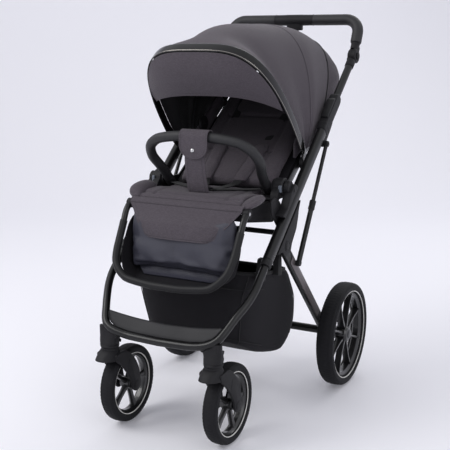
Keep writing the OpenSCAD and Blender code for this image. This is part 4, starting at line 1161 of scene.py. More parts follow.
for sx in (1, -1):
    low, high = sorted((204.2 * sx, 216.8 * sx))
    length = hypot(313, 327.5)
    bar = [legYz(-8, 14), legYz(-19, 0), legYz(-8, -14), legYz(20, -17), legYz(length - 16, -17),
        legYz(length + 4, -18), legYz(length + 19, -6), legYz(length + 19, 6), legYz(length + 4, 18),
        legYz(length - 16, 17), legYz(20, 17)]
    legs.append(slab("leg", rounded(bar, 14, 5), low, high, "frame", 3.0, 3))
    low, high = sorted((216.9 * sx, 219.5 * sx))
    strip = rounded([legYz(64, 12.5), legYz(348, 12.5), legYz(348, -12.5), legYz(64, -12.5)], 5, 4)
    covers.append(slab("cover", strip, low, high, "bronze", 1.1, 3))
    low, high = sorted((217.2 * sx, 234 * sx))
    arm = rounded([legYz(length - 62, 13), legYz(length, 15), legYz(length, -15), legYz(length - 62, -13)], 5, 4)
    blocks.append(slab("blockArm", arm, low, high, "plasticSoft", 2.5, 3))
    low, high = sorted((217.2 * sx, 237.8 * sx))
    blocks.append(lathe("block", drum(low, high, 19, 20.8, 18.5, 2, 2), at(0, *rearAxle), "plasticSoft", 48, 30))
place(joined("rearLegs", legs), "rear_frame", "frame_black", "rear_legs")
place(joined("legCovers", covers), "rear_frame", "bronze_grey", "leg_covers")
place(joined("axleBlocks", blocks), "rear_frame", "plastic_black", "axle_blocks")
axle = [(5.9, -283), (5.9, -216), (11.9, -216), (11.9, 216), (5.9, 216), (5.9, 283)]
place(lathe("rearAxle", axle, at(0, *rearAxle), "frame", 40, closed=False), "rear_frame", "frame_black", "rear_axle")
ringPart = lathe("pedalRing", [(12.3, -31.8), (16.4, -31.8), (16.9, -31), (16.9, 31), (16.4, 31.8), (12.3, 31.8)],
    at(0, *rearAxle), "plastic", 40, 30)
plate = slab("pedalPlate", rounded([(521, 147), (571, 156.8), (573, 162), (521, 162)], 3, 4),
    -31.5, 31.5, "plastic", 1.5, 3)
ribs = [slab("pedalRib", [(540 + 6 * k, 161.5), (543 + 6 * k, 161.5), (542.6 + 6 * k, 162.6), (540.4 + 6 * k, 162.6)],
    -24, 24, "plastic", 0.4, 1) for k in range(5)]
place(joined("brakePedal", [ringPart, plate] + ribs), "brake_pedal", "plastic_black", "brake_pedal")

strutTop, strutFoot = Vector((455.18, 719.79)), Vector((270, 419))
strutWay = (strutTop - strutFoot).normalized()


def strutPoint(x, s):
    return at(x, *(strutFoot + strutWay * s))


def eyeDisc(name, x, yz, radius, half, paint):
    return lathe(name, drum(x - half, x + half, radius - 1, radius, radius - 1, 1, 1), at(0, *yz), paint, 40, 30)


for side, sx in sides:
    x = 227 * sx
    rod = swept("rod", [strutPoint(x, s) for s in (30, 150, 250, 350)], oval(11, 11, 24), sideways, "frame")
    place(joined(side + "UpperStrut", [rod, eyeDisc("eye", x, strutTop, 9, 5.8, "plastic")]), side + "_upper_strut",
        "frame_black", side + "_upper_strut")
    tube = swept("tube", [strutPoint(x, s) for s in (0, 60, 120, 180)], oval(14.4, 14.4, 28), sideways, "frame")
    collar = swept("collar", [strutPoint(x, s) for s in (154.5, 156, 163, 164, 172, 173, 180, 181.2)],
                   oval(18, 18, 28), sideways, "plastic",
                   lambda t: 0.92 if t < 0.05 or t > 0.95 else (0.95 if 0.35 < t < 0.5 else 1.0))
    place(joined(side + "LowerStrut", [tube, collar, eyeDisc("eye", x, strutFoot, 9, 5.8, "plastic")]),
        side + "_lower_strut", "frame_black", side + "_lower_strut")

print("stage: frame")


board = {"slope": 43, "front": (-72.8, 275), "thick": 5.6}
boardFront = [(0, 0.2), (90, 2.5), (127, 6.1), (148, 14.9), (159, 26.9), (166, 41.1)]
boardBack = [(0, 38), (166, 45)]


def along1d(table, x):
    for (x0, v0), (x1, v1) in zip(table, table[1:]):
        if x <= x1:
            return v0 + (v1 - v0) * (x - x0) / (x1 - x0)
    return table[-1][1]


def makeFootboard():
    c, s = cos(radians(board["slope"])), sin(radians(board["slope"]))

    def point(x, u, w):
        return at(x, board["front"][0] + u * c - w * s, board["front"][1] + u * s + w * c)
    rows = []
    for i in range(13):
        t = i / 12
        row = []
        for j in range(85):
            x = -165.6 + 331.2 * j / 84
            front, back = along1d(boardFront, abs(x)), along1d(boardBack, abs(x))
            u = front + (back - front) * t
            edge = min(t, 1 - t) * (back - front)
            rim = 1.6 * exp(-(edge / 4.0) ** 2)
            dish = 16 * (max(abs(x) - 60, 0) / 106) ** 1.8
            row.append(point(x, u, 4.2 + rim + dish - 1.2 * sin(pi * t) * (1 - (x / 166) ** 2)))
        rows.append(row)
    tray = gridSheet("tray", rows, "tray", board["thick"] - 2.2, None, 2)
    beads = [swept("bead", [p + Vector((0, 0, 0.0002)) for p in rows[k]], oval(2.4, 2.0, 8), Vector((0, 1, 1)),
        "plasticSoft") for k in (0, -1)]
    return joined("footboard", [tray] + beads)


paints["tray"] = hardMaterial("texturedTray", (0.017, 0.017, 0.019), (0.045, 0.045, 0.048), 0.66, 260.0, 0.55, 0.35)
place(makeFootboard(), "chassis", "plastic_black", "footboard")


handleShape = {"reach": 118, "corner": 44, "radius": 16.5, "middle": 64.2, "neck": 42, "top": (744.32, 1062.75)}


def handlePath(sx):
    v, x0 = handleShape, railShape["x"]
    out = [onHandle(x0 * sx, v["neck"] + 0.3), onHandle(x0 * sx, 58)]
    for i in range(10):
        a = radians(90 * i / 9)
        out.append(onHandle(sx * (x0 - v["corner"] + v["corner"] * cos(a)),
            v["reach"] - v["corner"] + v["corner"] * sin(a)))
    for x in (150, 120, 90, v["middle"]):
        out.append(onHandle(sx * x, v["reach"]))
    return out


grips, gripSeams = [], []
handleFront = Vector((0, -sin(handleTurn), cos(handleTurn)))
for sx in (1, -1):
    path = spline(handlePath(sx), 3)
    grips.append(swept("grip", path, oval(2 * handleShape["radius"], 2 * handleShape["radius"], 32),
                       lambda p: handleFront, "grip",
                       lambda t: 0.95 if t < 0.004 or t > 0.996 else 1.0 + 0.004 * sin(70 * t)))
    back = [p - handleFront * 0.0166 for p in path[3:-2]]
    ridge = swept("ridge", back, oval(2.6, 1.8, 10), lambda p: handleFront, "grip")
    gripSeams.append(ridge)
    for off in (-2.6, 2.6):
        line = []
        for i, p in enumerate(path[3:-2]):
            ahead = (path[min(i + 4, len(path) - 1)] - path[i + 2]).normalized()
            out = ahead.cross(handleFront).normalized()
            line.append(p - handleFront * 0.01635 + out * off / 1000)
        gripSeams.append(stitches("gripStitch", line, -handleFront, "threadDark", 4.2, 2.8, 0.45))
place(joined("handleGrips", grips), "handle", "grip_leather", "handle_grips")
place(joined("gripSeams", gripSeams), "handle", "grip_leather")

middle = lathe("sleeve", [(15.5, -64.6), (17.0, -63.6), (17.0, -62), (16.2, -61), (16.6, -30), (16.9, -26),
               (16.9, 26), (16.6, 30), (16.2, 61), (17.0, 62), (17.0, 63.6), (15.5, 64.6)],
               at(0, *handleShape["top"]), "plasticSoft", 56, 30, closed=False)
block = loft("block", [ringAt(at(0, handleShape["top"][0], z), rx, ry, p, 48) for z, rx, ry, p in (
    (1031.9, 21, 9.0, 4), (1032.3, 23.8, 11.3, 4.5), (1035, 24.8, 12, 5), (1044, 24.9, 12.2, 5),
    (1052, 25.2, 13.0, 4.5), (1058, 26.5, 14.5, 4))], "plasticSoft", True, 40)
place(joined("handleMiddlePiece", [middle, block]), "handle", "plastic_black", "handle_middle_piece")
press = loft("press", [ringAt(at(0, handleShape["top"][0], z), rx, ry, 4.5, 40)
    for z, rx, ry in ((1028.9, 11.2, 5.4), (1029.3, 12.4, 6.5), (1030.6, 12.9, 6.9), (1035, 12.9, 6.9))], "bronze")
press.name = "foldButton"
place(press, "fold_button", "bronze_grey", "fold_button")

hubs = []
for side, sx in sides:
    x = railShape["x"] * sx
    low, high = sorted((x + 0.3 * sx, x + 12.9 * sx))
    outerX = high if sx > 0 else low
    innerX = low if sx > 0 else high
    disc = [(0.001, innerX), (20.6, innerX), (20.9, innerX + 1.2 * sx), (20.9, outerX - 2.2 * sx), (18.6, outerX),
        (12.2, outerX), (11.6, outerX - 1.0 * sx), (0.001, outerX - 1.0 * sx)]
    hubs.append(lathe("hubDisc", disc, at(0, *tiltPivot), "plasticSoft", 48, 30))
    neck = [onHandle(0, u, o) for u, o in ((0, -11), (32, -11), (32, 11), (0, 11))]
    outline = [((p.y - axleY) * 1000, p.z * 1000) for p in neck]
    hubs.append(slab("hubNeck", outline, low + 0.1, high - 0.4, "plasticSoft", 2.4, 3))
    hubs.append(swept("socket", [onHandle(x, u) for u in (21, 22.5, 30, 31, 39, 40, 42)],
                      oval(26.4, 26.4, 36), handleFront, "plasticSoft",
                      lambda t: 0.93 if t < 0.05 else (0.97 if 0.4 < t < 0.55 else 1.0)))
    tap = button(side + "TiltButton", at(225.2 * sx, *tiltPivot), Vector((sx, 0, 0)), 10.8, 5.2, "plastic", 0.16, 40)
    place(tap, side + "_tilt_button", "plastic_black", side + "_tilt_button")
place(joined("handleHubs", hubs), "handle", "plastic_black", "handle_hubs")
print("stage: handle")


canopy = {"pivot": (404, 670), "crownZ": 1050, "crownY": 440, "drop": 0.00056, "halfWidth": 203,
          "front": 132, "span": 566, "seam": 0.6,
          "lift": 9, "waist": 14}


def archWay(k):
    y = canopy["front"] + k * canopy["span"]
    z = canopy["crownZ"] - canopy["drop"] * (y - canopy["crownY"]) ** 2
    if y < canopy["crownY"]:
        z += canopy["lift"] * sin(pi * (y - canopy["front"]) / (canopy["crownY"] - canopy["front"])) ** 2
    way = Vector((y, z)) - Vector(canopy["pivot"])
    return way.normalized(), way.length


def archMm(k, t, out=0.0):
    way, big = archWay(k)
    n = 2.15 + 0.75 * min(k / 0.7, 1) + 1.45 * exp(-(k / 0.08) ** 2)
    c, s = cos(radians(t)), sin(radians(t))
    r = (big + out) * s ** (2 / n)
    w = canopy["halfWidth"] - 9 * k + out
    w -= canopy["waist"] * sin(pi * min(k / 0.65, 1)) * min(r,
        150) / 150 + 7 * exp(-((k - 0.1) / 0.07) ** 2) * min(r, 150) / 150
    w -= 20 * (1 - min(r, 150) / 150) ** 2
    p = Vector(canopy["pivot"]) + way * r
    return w * copysign(abs(c) ** (2 / n), c), p.x, p.y


def archPoint(k, t, out=0.0):
    return at(*archMm(k, t, out))


def archAngles(first, count):
    half = [first + (90 - first) * (i / count) ** 1.3 for i in range(count + 1)]
    return half + [180 - a for a in reversed(half[:-1])]


angles = list(reversed(archAngles(2.5, 34)))  # from the child's right to the child's left


def stretchOut(k, t):  # how far the cloth stands off the plain arch
    s = sin(radians(t))
    low = (1 - s) ** 2
    if k <= canopy["seam"]:
        u = k / canopy["seam"]
        sag = -1.2 * sin(pi * u) * s
        pleat = 1.5 * low * sin(15 * u + 2.0 * s) * sin(pi * u) ** 0.5
        return sag + pleat + 0.5 * noiseAt(Vector((t / 60, u, 3.0)), 2.3)
    u = (k - canopy["seam"]) / (1 - canopy["seam"])
    return 2.6 * sin(pi * u) * s + 1.2 * low * sin(9 * u
        + 1.0) * sin(pi * u) ** 0.5 + 0.5 * noiseAt(Vector((t / 60, u, 7.0)), 2.3)


def canopyRows(k0, k1, count, out=0.0):
    rows = []
    for i in range(count + 1):
        k = k0 + (k1 - k0) * i / count
        rows.append([archPoint(k, t, out + stretchOut(k, t) if 0 < i < count else out) for t in angles])
    return rows


frontCover = gridSheet("canopyFront", canopyRows(-0.003, 0.597, 24), "melange", 1.8, "lining", 1)
way0, big0 = archWay(0.012)
way1, big1 = archWay(0.597)
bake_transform(frontCover)
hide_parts("canopy_front")
declareSheet(frontCover)

backrest = {"pivot": (242, 627), "recline": 33.8, "pad": (306, 514, 20)}
backTurn = radians(backrest["recline"])


def backYz(u, w):
    (y, z), c, k = backrest["pivot"], cos(backTurn), sin(backTurn)
    return y + u * c - w * k, z + u * k + w * c


def backAt(x, u, w):
    return at(x, *backYz(u, w))


def backOf(y, z):
    dy, dz = y - backrest["pivot"][0], z - backrest["pivot"][1]
    return dy * cos(backTurn) + dz * sin(backTurn), -dy * sin(backTurn) + dz * cos(backTurn)


def curtainRows(count):
    rows = []
    for i in range(1, count + 1):
        s = i / count
        row = []
        for t in angles:
            c, q = cos(radians(t)), sin(radians(t))
            x0, y0, z0 = archMm(1, t)
            w0 = backOf(y0, z0)[1]
            n = 2 / 12
            x1 = 180.2 * copysign(abs(c) ** n, c)
            u1 = 150 + 398.8 * q ** n
            y1, z1 = backYz(u1, min(-28, w0 - 6))
            bulge = 15 * sin(pi * s) * (0.25 + 0.75 * q) + 1.4 * sin(radians(t) * 23) * sin(pi * s)
            x, y, z = x0 + (x1 - x0) * s, y0 + (y1 - y0) * s, z0 + (z1 - z0) * s
            aside = copysign(abs(c) ** 0.5, c)
            row.append(at(x + bulge * 0.45 * aside, y + bulge * 0.9 * q, z + bulge * 0.25 * q))
        rows.append(row)
    tuck = []  # the end turns in against the back of the shell
    for t, p in zip(angles, rows[-1]):
        q = sin(radians(t))
        u, w = backOf(*(Vector((0, p.y, p.z)) - Vector((0, at(0, 0, 0).y, 0))).yz * 1000)
        y, z = backYz(u - 3, max(w, -59))
        tuck.append(at(max(-163.6, min(163.6, p.x * 1000)), y, z))
    rows.append(tuck)
    return rows


rearCover = gridSheet("canopyRear", canopyRows(0.603, 1, 12) + curtainRows(9), "melange", 1.8, "lining", 1)
place(rearCover, "backrest", "melange_fabric", "canopy_rear")
declareSheet(rearCover)

trims = []
seamPath = [archPoint(0.6, t, 0.3) for t in angles]
trims.append(swept("seamRidge", seamPath, oval(5.0, 1.6, 10), lambda p: Vector((0, 1, 0.2)), "melange"))
for off in (-0.0075, 0.0075):
    line = [archPoint(0.6 + off, t, 0.35) for t in angles]
    trims.append(stitches("seamStitch", line, lambda p: p - at(0, 440, 760), "thread", 4.4, 3.0, 0.4))
place(joined("canopySeam", trims), "backrest", "melange_fabric")

rimPath = [archPoint(1.0, t, 0.2) for t in angles]
piping = swept("piping", rimPath, oval(4.0, 4.0, 12), lambda p: Vector((0, 1, 0.2)), "webbing")
tabs = []
for t in (47, 133):
    way, big = archWay(1)
    p, q = archPoint(1.0, t - 2.4, 1.0), archPoint(1.0, t + 2.4, 1.0)
    centre = archPoint(1.0, t, 0.5)
    across = (q - p).normalized()
    back = Vector((0, way.y, -way.x)).normalized()
    up = back.cross(across).normalized()
    ring = []
    for a, b in ((-8, -5), (8, -5), (8.5, 9), (5, 12), (-5, 12), (-8.5, 9)):
        ring.append(centre + across * a / 1000 + back * b / 1000)
    points = [p + up * 0.0016 for p in ring] + [p - up * 0.0012 for p in ring]
    faces = [tuple(range(6)), tuple(reversed(range(6, 12)))] + [(i, (i + 1) % 6, 6 + (i + 1) % 6, 6 + i)
        for i in range(6)]
    tabs.append(bevelled(addMesh("tab", points, faces, "plastic", False), 0.7, 2))
place(joined("canopyRearPiping", [piping] + tabs), "backrest", "black_fabric")


def bowWay(k):
    way = archWay(k)[0]
    return Vector((0, -way.y, way.x))


def bowPath(k, out, x, ahead=0.0):
    way, big = archWay(k)
    start = Vector(canopy["pivot"]) + way * 8
    half = [at(x, start.x, start.y)]
    for t in archAngles(2.5, 30)[:31]:
        p = archMm(k, t, out)
        reach = (Vector(p[1:]) - Vector(canopy["pivot"])).length
        half.append(at(*p) + bowWay(k) * (ahead * min(reach / 120, 1) / 1000))
    return acrossPath(half)


def boxSection(wide, deep, shiftA=0.0, shiftB=0.0, count=24, power=4.5):
    return [(a + shiftA / 1000, b + shiftB / 1000) for a, b in oval(wide, deep, count, power)]


bowRun = bowPath(0, 2.3, 189, 14)
bowShape = [(0.0144 * cos(a), 0.0018 * (1 if sin(a) > 0 else -1) * abs(sin(a)) ** 0.55)
    for a in [2 * pi * i / 28 for i in range(28)]]
bowPieces = [swept("bowStrip", bowRun, bowShape, bowWay(0), "gloss")]
for sx in (1, -1):
    low, high = sorted((186.5 * sx, 191.4 * sx))
    bowPieces.append(lathe("bowEnd", drum(low, high, 15, 15.9, 15, 1, 1), at(0, *canopy["pivot"]), "gloss", 48, 30))
place(joined("canopyBow", bowPieces), "canopy_bow", "bow_gloss", "canopy_bow")
line = swept("line", bowRun, boxSection(2.6, 3.7, 10.4, 0, 12, 3), bowWay(0), "champagne")
line.name = "bowBrightLine"
place(line, "canopy_bow", "bow_gloss")

mountPieces = [swept("innerBow", bowPath(0.6, -6.1, 182), boxSection(11.6, 3.4), bowWay(0.6), "plasticSoft")]
for sx in (1, -1):
    low, high = sorted((171.8 * sx, 186 * sx))
    mountPieces.append(lathe("mount", drum(low, high, 14, 16.8, 16, 2, 1),
        at(0, *canopy["pivot"]), "plasticSoft", 48, 30))
place(joined("canopyMounts", mountPieces), "backrest", "plastic_black", "canopy_mounts")


def visorPoint(c, k, off=0.0):
    top = Vector(archMm(0, 90 - 63 * c, -0.5))
    ahead = bowWay(0) * 28.8
    top += Vector((0, ahead.y, ahead.z))
    low = Vector((192 * c, 170 + 66 * abs(c) ** 3, 866 + 2 * c - (31 + 9 * c) * abs(c) ** 3))
    p = top + (low - top) * k
    p.y += off - 14 * sin(pi * k) * (1 - c * c)
    return at(*p)


visorRows = []
for i in range(13):
    k = 1 - i / 12
    visorRows.append([visorPoint(-1 + 2 * j / 60, k, 0.5 * noiseAt(Vector((j / 30, i / 6, 2.0)), 2.0))
        for j in range(61)])
visor = gridSheet("canopyVisor", visorRows, "melange", 2.0, "lining", 1, 0.0)
place(visor, "canopy_visor", "melange_fabric", "canopy_visor")
hem = swept("hem", visorRows[0], oval(3.4, 3.4, 10), rearwards, "melange")
hemLine = [visorPoint(-1 + 2 * j / 60, 0.955, -1.2) for j in range(61)]
hemStitch = stitches("hemStitch", hemLine, Vector((0, -1, 0)), "thread", 4.4, 3.0, 0.4)
visorHem = place(joined("visorHem", [hem, hemStitch]), "canopy_visor", "melange_fabric")
declareSheet(visor)
print("stage: canopy")


shellRings = []
for u, rx, w0, w1 in ((5.5, 158, -61, -40), (9, 163, -63.4, -37), (40, 164.6, -64, -36), (250, 165, -64, -36),
        (500, 165, -64, -36), (530, 163, -63.4, -37), (544, 156, -60, -40)):
    ring = []
    for a, b in oval(2 * rx, w1 - w0, 48, 7):
        ring.append(backAt(a * 1000, u, (w0 + w1) / 2 + b * 1000))
    shellRings.append(ring)
place(loft("backrestShell", shellRings, "basketCloth"), "backrest", "black_fabric", "backrest_shell")

arms = []
for sx in (1, -1):
    low, high = sorted((165.6 * sx, 171.5 * sx))
    outline = rounded([backYz(-8, -14), backYz(18, -10), backYz(60, -38), backYz(330, -38), backYz(330, -60),
        backYz(20, -62), backYz(-14, -20)], 6, 4)
    arms.append(slab("arm", outline, low, high, "frame", 1.4, 2))
    arms.append(lathe("armHub", drum(low, high, 20.5, 21.8, 20.5, 1.2, 1.2),
        at(0, *backrest["pivot"]), "plasticSoft", 48, 30))
place(joined("backrestArms", arms), "backrest", "frame_black", "backrest_arms")


def makeBackPad():
    def where(a, b, c):
        taper = 1 - 0.10 * max(0, (abs(b) - 200) / 60) ** 2
        return backAt(a * taper, 273 + b, -25.5 + c * (1 - 0.25 * (abs(a) / 153) ** 4))
    pad = boxPad("backrestPad", where, *backrest["pad"], "melange", (24, 36, 3))
    puff(pad, 5.5, 3.2, 7)
    lines = []
    for x in (-95, 95):
        lines.append([backAt(x, 60 + 450 * i / 20, -14) for i in range(21)])
    for u in (150, 300, 420):
        lines.append([backAt(-95 + 190 * i / 12, u, -14) for i in range(13)])
    for line in lines:
        pressSeam(pad, line, 5.5, 7)
    wrinkle(pad, 1.3, 14, 4.0)
    clothUv(pad)
    return pad


backPad = makeBackPad()
place(backPad, "backrest", "melange_fabric", "backrest_pad")


def makeWing(sx):
    def where(a, b, c):
        lean = 0.5 + a / 46
        swell = cos(b / 256 * pi / 2 * 0.9)
        return backAt(sx * (161 + c * (1 - 0.35 * lean) + 3 * lean), 270 + b * (1 - 0.12 * lean),
            -34 + 46 * lean * (0.45 + 0.6 * swell) - 1)
    wing = boxPad("wing", where, 46, 244, 15, "melange", (5, 26, 2))
    puff(wing, 5.0, 3.0, 5)
    wrinkle(wing, 1.8, 24, 9.0 + sx, (1, 1, 1))
    clothUv(wing)
    return wing


for side, sx in sides:
    wing = makeWing(sx)
    wing.name = side + "BackrestWing"
    place(wing, "backrest", "melange_fabric")
    roundClip = lathe(side + "HoodClip", [(6, 148.5 * sx), (21, 148.5 * sx), (22.5, 150 * sx), (22.5, 156 * sx),
        (6, 156 * sx), (4, 152 * sx)], backAt(0, 232, 10), "plasticSoft", 40, 30)
    place(roundClip, "backrest", "plastic_black")


def makeShoulderPad(sx):
    lean = 0.16
    def where(a, b, c):
        thin = 1 - 0.3 * (abs(b) / 80) ** 6
        return backAt(sx * (59 + a * thin + lean * b * 0.5), 95 + b, -6.5 + c)
    pad = boxPad("shoulderPad", where, 46, 158, 10, "melange", (8, 22, 2))
    puff(pad, 4.5, 3.0, 4)
    wrinkle(pad, 0.9, 20, 3.0 + sx)
    clothUv(pad)
    return pad


for side, sx in sides:
    pad = makeShoulderPad(sx)
    pad.name = side + "ShoulderPad"
    place(pad, "backrest", "melange_fabric", *(["shoulder_harness"] if sx > 0 else []))
    edge = [backAt(sx * (59 + 20 * cos(a) + 0.08 * 74 * sin(a)), 95 + 74 * sin(a), -0.4)
        for a in [2 * pi * i / 40 for i in range(41)]]
    place(joined(side + "ShoulderStitches", [stitches("s", edge, backAt(0, 0, 1) - backAt(0, 0, 0), "thread", 4.6,
        3.0, 0.45)]), "backrest", "melange_fabric")
    upper = [backAt(sx * (65 + 1.5 * i), 172 + 15 * i, -10.5 + 1.2 * sin(i * 0.9)) for i in range(15)]
    lower = spline(atAll([(sx * x, y, z) for x, y, z in ((53, 266, 637), (51, 256, 630), (44, 244, 624),
        (36, 228, 621), (30, 205, 620), (26, 182, 621), (22, 166, 621))]), 3)
    for name, path in (("Upper", spline(upper, 3)), ("Lower", lower)):
        strap = swept(side + name + "Webbing", path, boxSection(24, 1.8, 0, 0, 16, 5), sideways, "webbing")
        if name == "Upper":
            place(strap, "backrest", "black_fabric")
        else:  # runs from the backrest down to the buckle on the seat
            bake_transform(strap)
print("stage: backrest")


seat = {"shellHalf": 162.5, "cushion": (312, 192, 13), "footrestPivot": (70, 584)}


def makeSeatShell():
    outline = rounded([(62, 586), (94, 556), (252, 528), (258, 560), (260, 597.5), (70, 597.5), (62.5, 593)], 9, 5)
    tub = slab("tub", outline, -seat["shellHalf"], seat["shellHalf"], "basketCloth", 5, 4)
    welt = [at(x, y, z) for x, y, z in ((-163, 255, 592), (-163, 150, 592), (-163, 70, 592), (-156, 62.5, 592),
        (156, 62.5, 592), (163, 70, 592), (163, 150, 592), (163, 255, 592))]
    band = swept("welt", welt, oval(3, 3, 8), upwards, "webbing")
    pegs = [lathe("peg", [(0.001, 150 * s), (4.9, 150 * s), (4.9, 174.6 * s), (0.001, 174.6 * s)],
        at(0, *seat["footrestPivot"]), "steel", 24, 30) for s in (1, -1)]
    return joined("seatShell", [tub, band] + pegs)


place(makeSeatShell(), "seat", "black_fabric", "seat_shell")


def makeSeatCushion():
    def where(a, b, c):
        x = a
        y = 160 + b
        z = 605.5 + c
        fore = max(0, (110 - y) / 48)
        z -= 7.5 * fore ** 1.6
        z += 3.5 * max(0, (abs(x) - 110) / 48) ** 2 * (1 - fore * 0.7)
        if y > 180:  # narrower between the feet of the hubs
            x *= 1 - 0.16 * min(1, (y - 180) / 16)
        return at(x, y, z)
    pad = boxPad("seatCushion", where, *seat["cushion"], "melange", (30, 20, 2))
    puff(pad, 5.0, 3.0, 6)
    for line in ([at(x, y, 614) for x, y in [(-108, 84 + 160 * i / 14) for i in range(15)]],
                 [at(108, 84 + 160 * i / 14, 614) for i in range(15)],
                 [at(-140 + 280 * i / 20, 88, 614) for i in range(21)],
                 [at(-100 + 200 * i / 16, 205, 614) for i in range(17)]):
        pressSeam(pad, line, 4.2, 6)
    wrinkle(pad, 1.1, 16, 5.0)
    clothUv(pad)
    return pad


seatPad = makeSeatCushion()
place(seatPad, "seat", "melange_fabric", "seat_cushion")


def bolsterRings(sx):
    rings = []
    low = 1 if sx > 0 else 0  # the one on the child's left lies flatter and further out
    stations = [  # y, centre x, centre z, half width, half height, tilt
        (66, 158, 604, 7, 5, 0.3), (69, 160, 606, 15, 9.5, 0.35), (75, 162.5, 609, 21, 13.5, 0.4),
        (88, 164, 612.5, 24, 17, 0.45), (105, 164, 615, 24.5, 19, 0.45),
        (125, 163, 617, 23.5, 19.5, 0.45), (143, 162, 618, 21, 18, 0.4), (157, 160.5, 617, 16.5, 14.5, 0.35),
        (165, 159, 615, 10, 9, 0.3), (168.5, 158, 613, 4, 4, 0.3)]
    for y, x, z, rx, rz, tilt in stations:
        ring = []
        for i in range(28):
            a = 2 * pi * i / 28
            dx, dz = rx * cos(a) * (1 + 0.08 * low), rz * sin(a) * (1 - 0.3 * low)
            ring.append(at(sx * (x + 5 * low + dx), y, z - 9 * low + dz + dx * tilt * 0.55))
        rings.append(ring)
    return rings


for side, sx in sides:
    bolster = loft("bolster", bolsterRings(sx), "melange")
    puff(bolster, 4.5, 2.2, 3)
    seam = [at(sx * (163 + 24 * cos(a)), 117 + 48 * sin(a), 612 + 0.24 * 24 * cos(a))
        for a in [radians(-100 + 200 * i / 24) for i in range(25)]]
    pressSeam(bolster, seam, 2.6, 4)
    wrinkle(bolster, 1.5, 22, 2.0 + sx)
    clothUv(bolster)
    bolster.name = side + "SeatBolster"
    place(bolster, "seat", "melange_fabric")


def padFront(z):  # y of the calf pad's front face at a height
    return 20.5 + (z - 442) * (39.2 - 20.5) / (556 - 442)


def makeFlap():
    stations = [(68, 602.5, 166), (62.5, 600.5, 166), (58.5, 596, 165), (55.5, 590, 163.5), (49.5, 578, 154),
        (42.5, 566, 144.5), (36, 556, 137)]
    rows = list(stations)
    for i in range(1, 9):
        z = 556 - 47.5 * i / 8
        half = 137 - 38 * i / 8
        rows.append((padFront(z) - 6.3 - 2.5 * sin(pi * min(i / 8, 1) * 0.9), z, half))
    rows = [Vector(r) for r in rows]
    fine = spline(rows, 3)
    grid = []
    for i, r in enumerate(fine):
        share = i / (len(fine) - 1)
        corner = max(0.0, (share - 0.9) / 0.1)
        row = []
        for j in range(57):
            c = -1 + 2 * j / 56
            x = c * r.z * (1 - 0.07 * corner ** 2 * abs(c) ** 3)
            bow = 5.5 * (1 - c * c) * min(1, share * 2.2)
            row.append(at(x - 7 * share ** 2, r.x + 5.0 * c ** 4 * min(1, share * 1.6) - bow * 0.5
                + 0.8 * noiseAt(Vector((c * 2, share * 3, 1)), 1.6), r.y))
        grid.append(row)
    return grid


flapGrid = makeFlap()  # rows run down the front, so the weave faces forward
flapRows = list(reversed(flapGrid))
# the flap's underside takes the shaded melange copy, a painted shade
flap = gridSheet("seatFrontFlap", flapRows, "melange", 2.2, "melangeShaded", 1, 0.0)
clothEdge = [row[0] for row in flapGrid[8:]] + flapGrid[-1][1:-1] + [row[-1] for row in reversed(flapGrid[8:])]
clothOut = Vector((0, -1, 0.1)).normalized()
edgeCord = swept("flapEdge", [p + clothOut * 0.0006 for p in clothEdge], oval(2.8, 2.8, 8),
    lambda p: Vector((0.1, 1, 0.2)), "melange")
inner = [row[2] for row in flapGrid[9:-1]] + flapGrid[-3][3:-3] + [row[-3] for row in reversed(flapGrid[9:-1])]
edgeStitch = stitches("flapStitch", [p + clothOut * 0.0013 for p in inner], clothOut, "thread", 4.6, 3.0, 0.42)
# the fold cord takes the shaded melange copy, a painted shade line along the fold
fold = swept("foldSeam", [p + Vector((0, -0.0008, 0.0006)) for p in flapGrid[9]], oval(2.6, 2.6, 8),
    lambda p: Vector((0, 1, 0.4)), "melangeShaded")
flapTrim = joined("seatFlapTrim", [edgeCord, edgeStitch, fold])
for piece in (flapTrim, flap):  # lies on the calf pad, baked in place
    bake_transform(piece)
declareSheet(flap)


def makeHubs():
    parts = []
    for sx in (1, -1):
        a, b = 172.2 * sx, 199.2 * sx
        low, high = sorted((a, b))
        parts.append(lathe("hub", drum(low, high, 23, 24.8, 22, 2, 3),
            at(0, *backrest["pivot"]), "plasticSoft", 56, 30))
        low, high = sorted((173.2 * sx, 193.8 * sx))
        parts.append(slab("web", rounded([(198, 599), (230, 599), (236, 622), (222, 634), (202, 616)], 5, 4),
            low, high, "plasticSoft", 2, 3))
        low, high = sorted((138.4 * sx, 191 * sx))
        parts.append(slab("foot", rounded([(196.5, 598.4), (258, 598.4), (258, 604.2), (196.5, 604.2)], 2, 3),
            low, high, "plasticSoft", 1.2, 2))
        turn = radians(133)
        way = Vector((cos(turn), sin(turn)))
        path = [at(151 * sx, 226 + way.x * u, 632 + way.y * u) for u in (-32, -30, -12, -3, -1.4, 0)]
        parts.append(swept("socket", path, oval(27, 27, 32), sideways, "plasticSoft",
            lambda t: 0.94 if t > 0.97 or t < 0.03 else 1.0))
    return joined("seatHubs", parts)


place(makeHubs(), "seat", "plastic_black", "seat_hubs")
presses = []
for sx in (1, -1):
    low, high = sorted((190.2 * sx, 198.5 * sx))
    presses.append(slab("press", rounded([(213.2, 616.6), (225.8, 616.6), (225.8, 635.4), (213.2, 635.4)], 3.5, 4),
        low, high, "buttonGrey", 1.6, 3))
place(joined("bumperButtons", presses), "bumper_releases", "button_grey", "bumper_buttons")

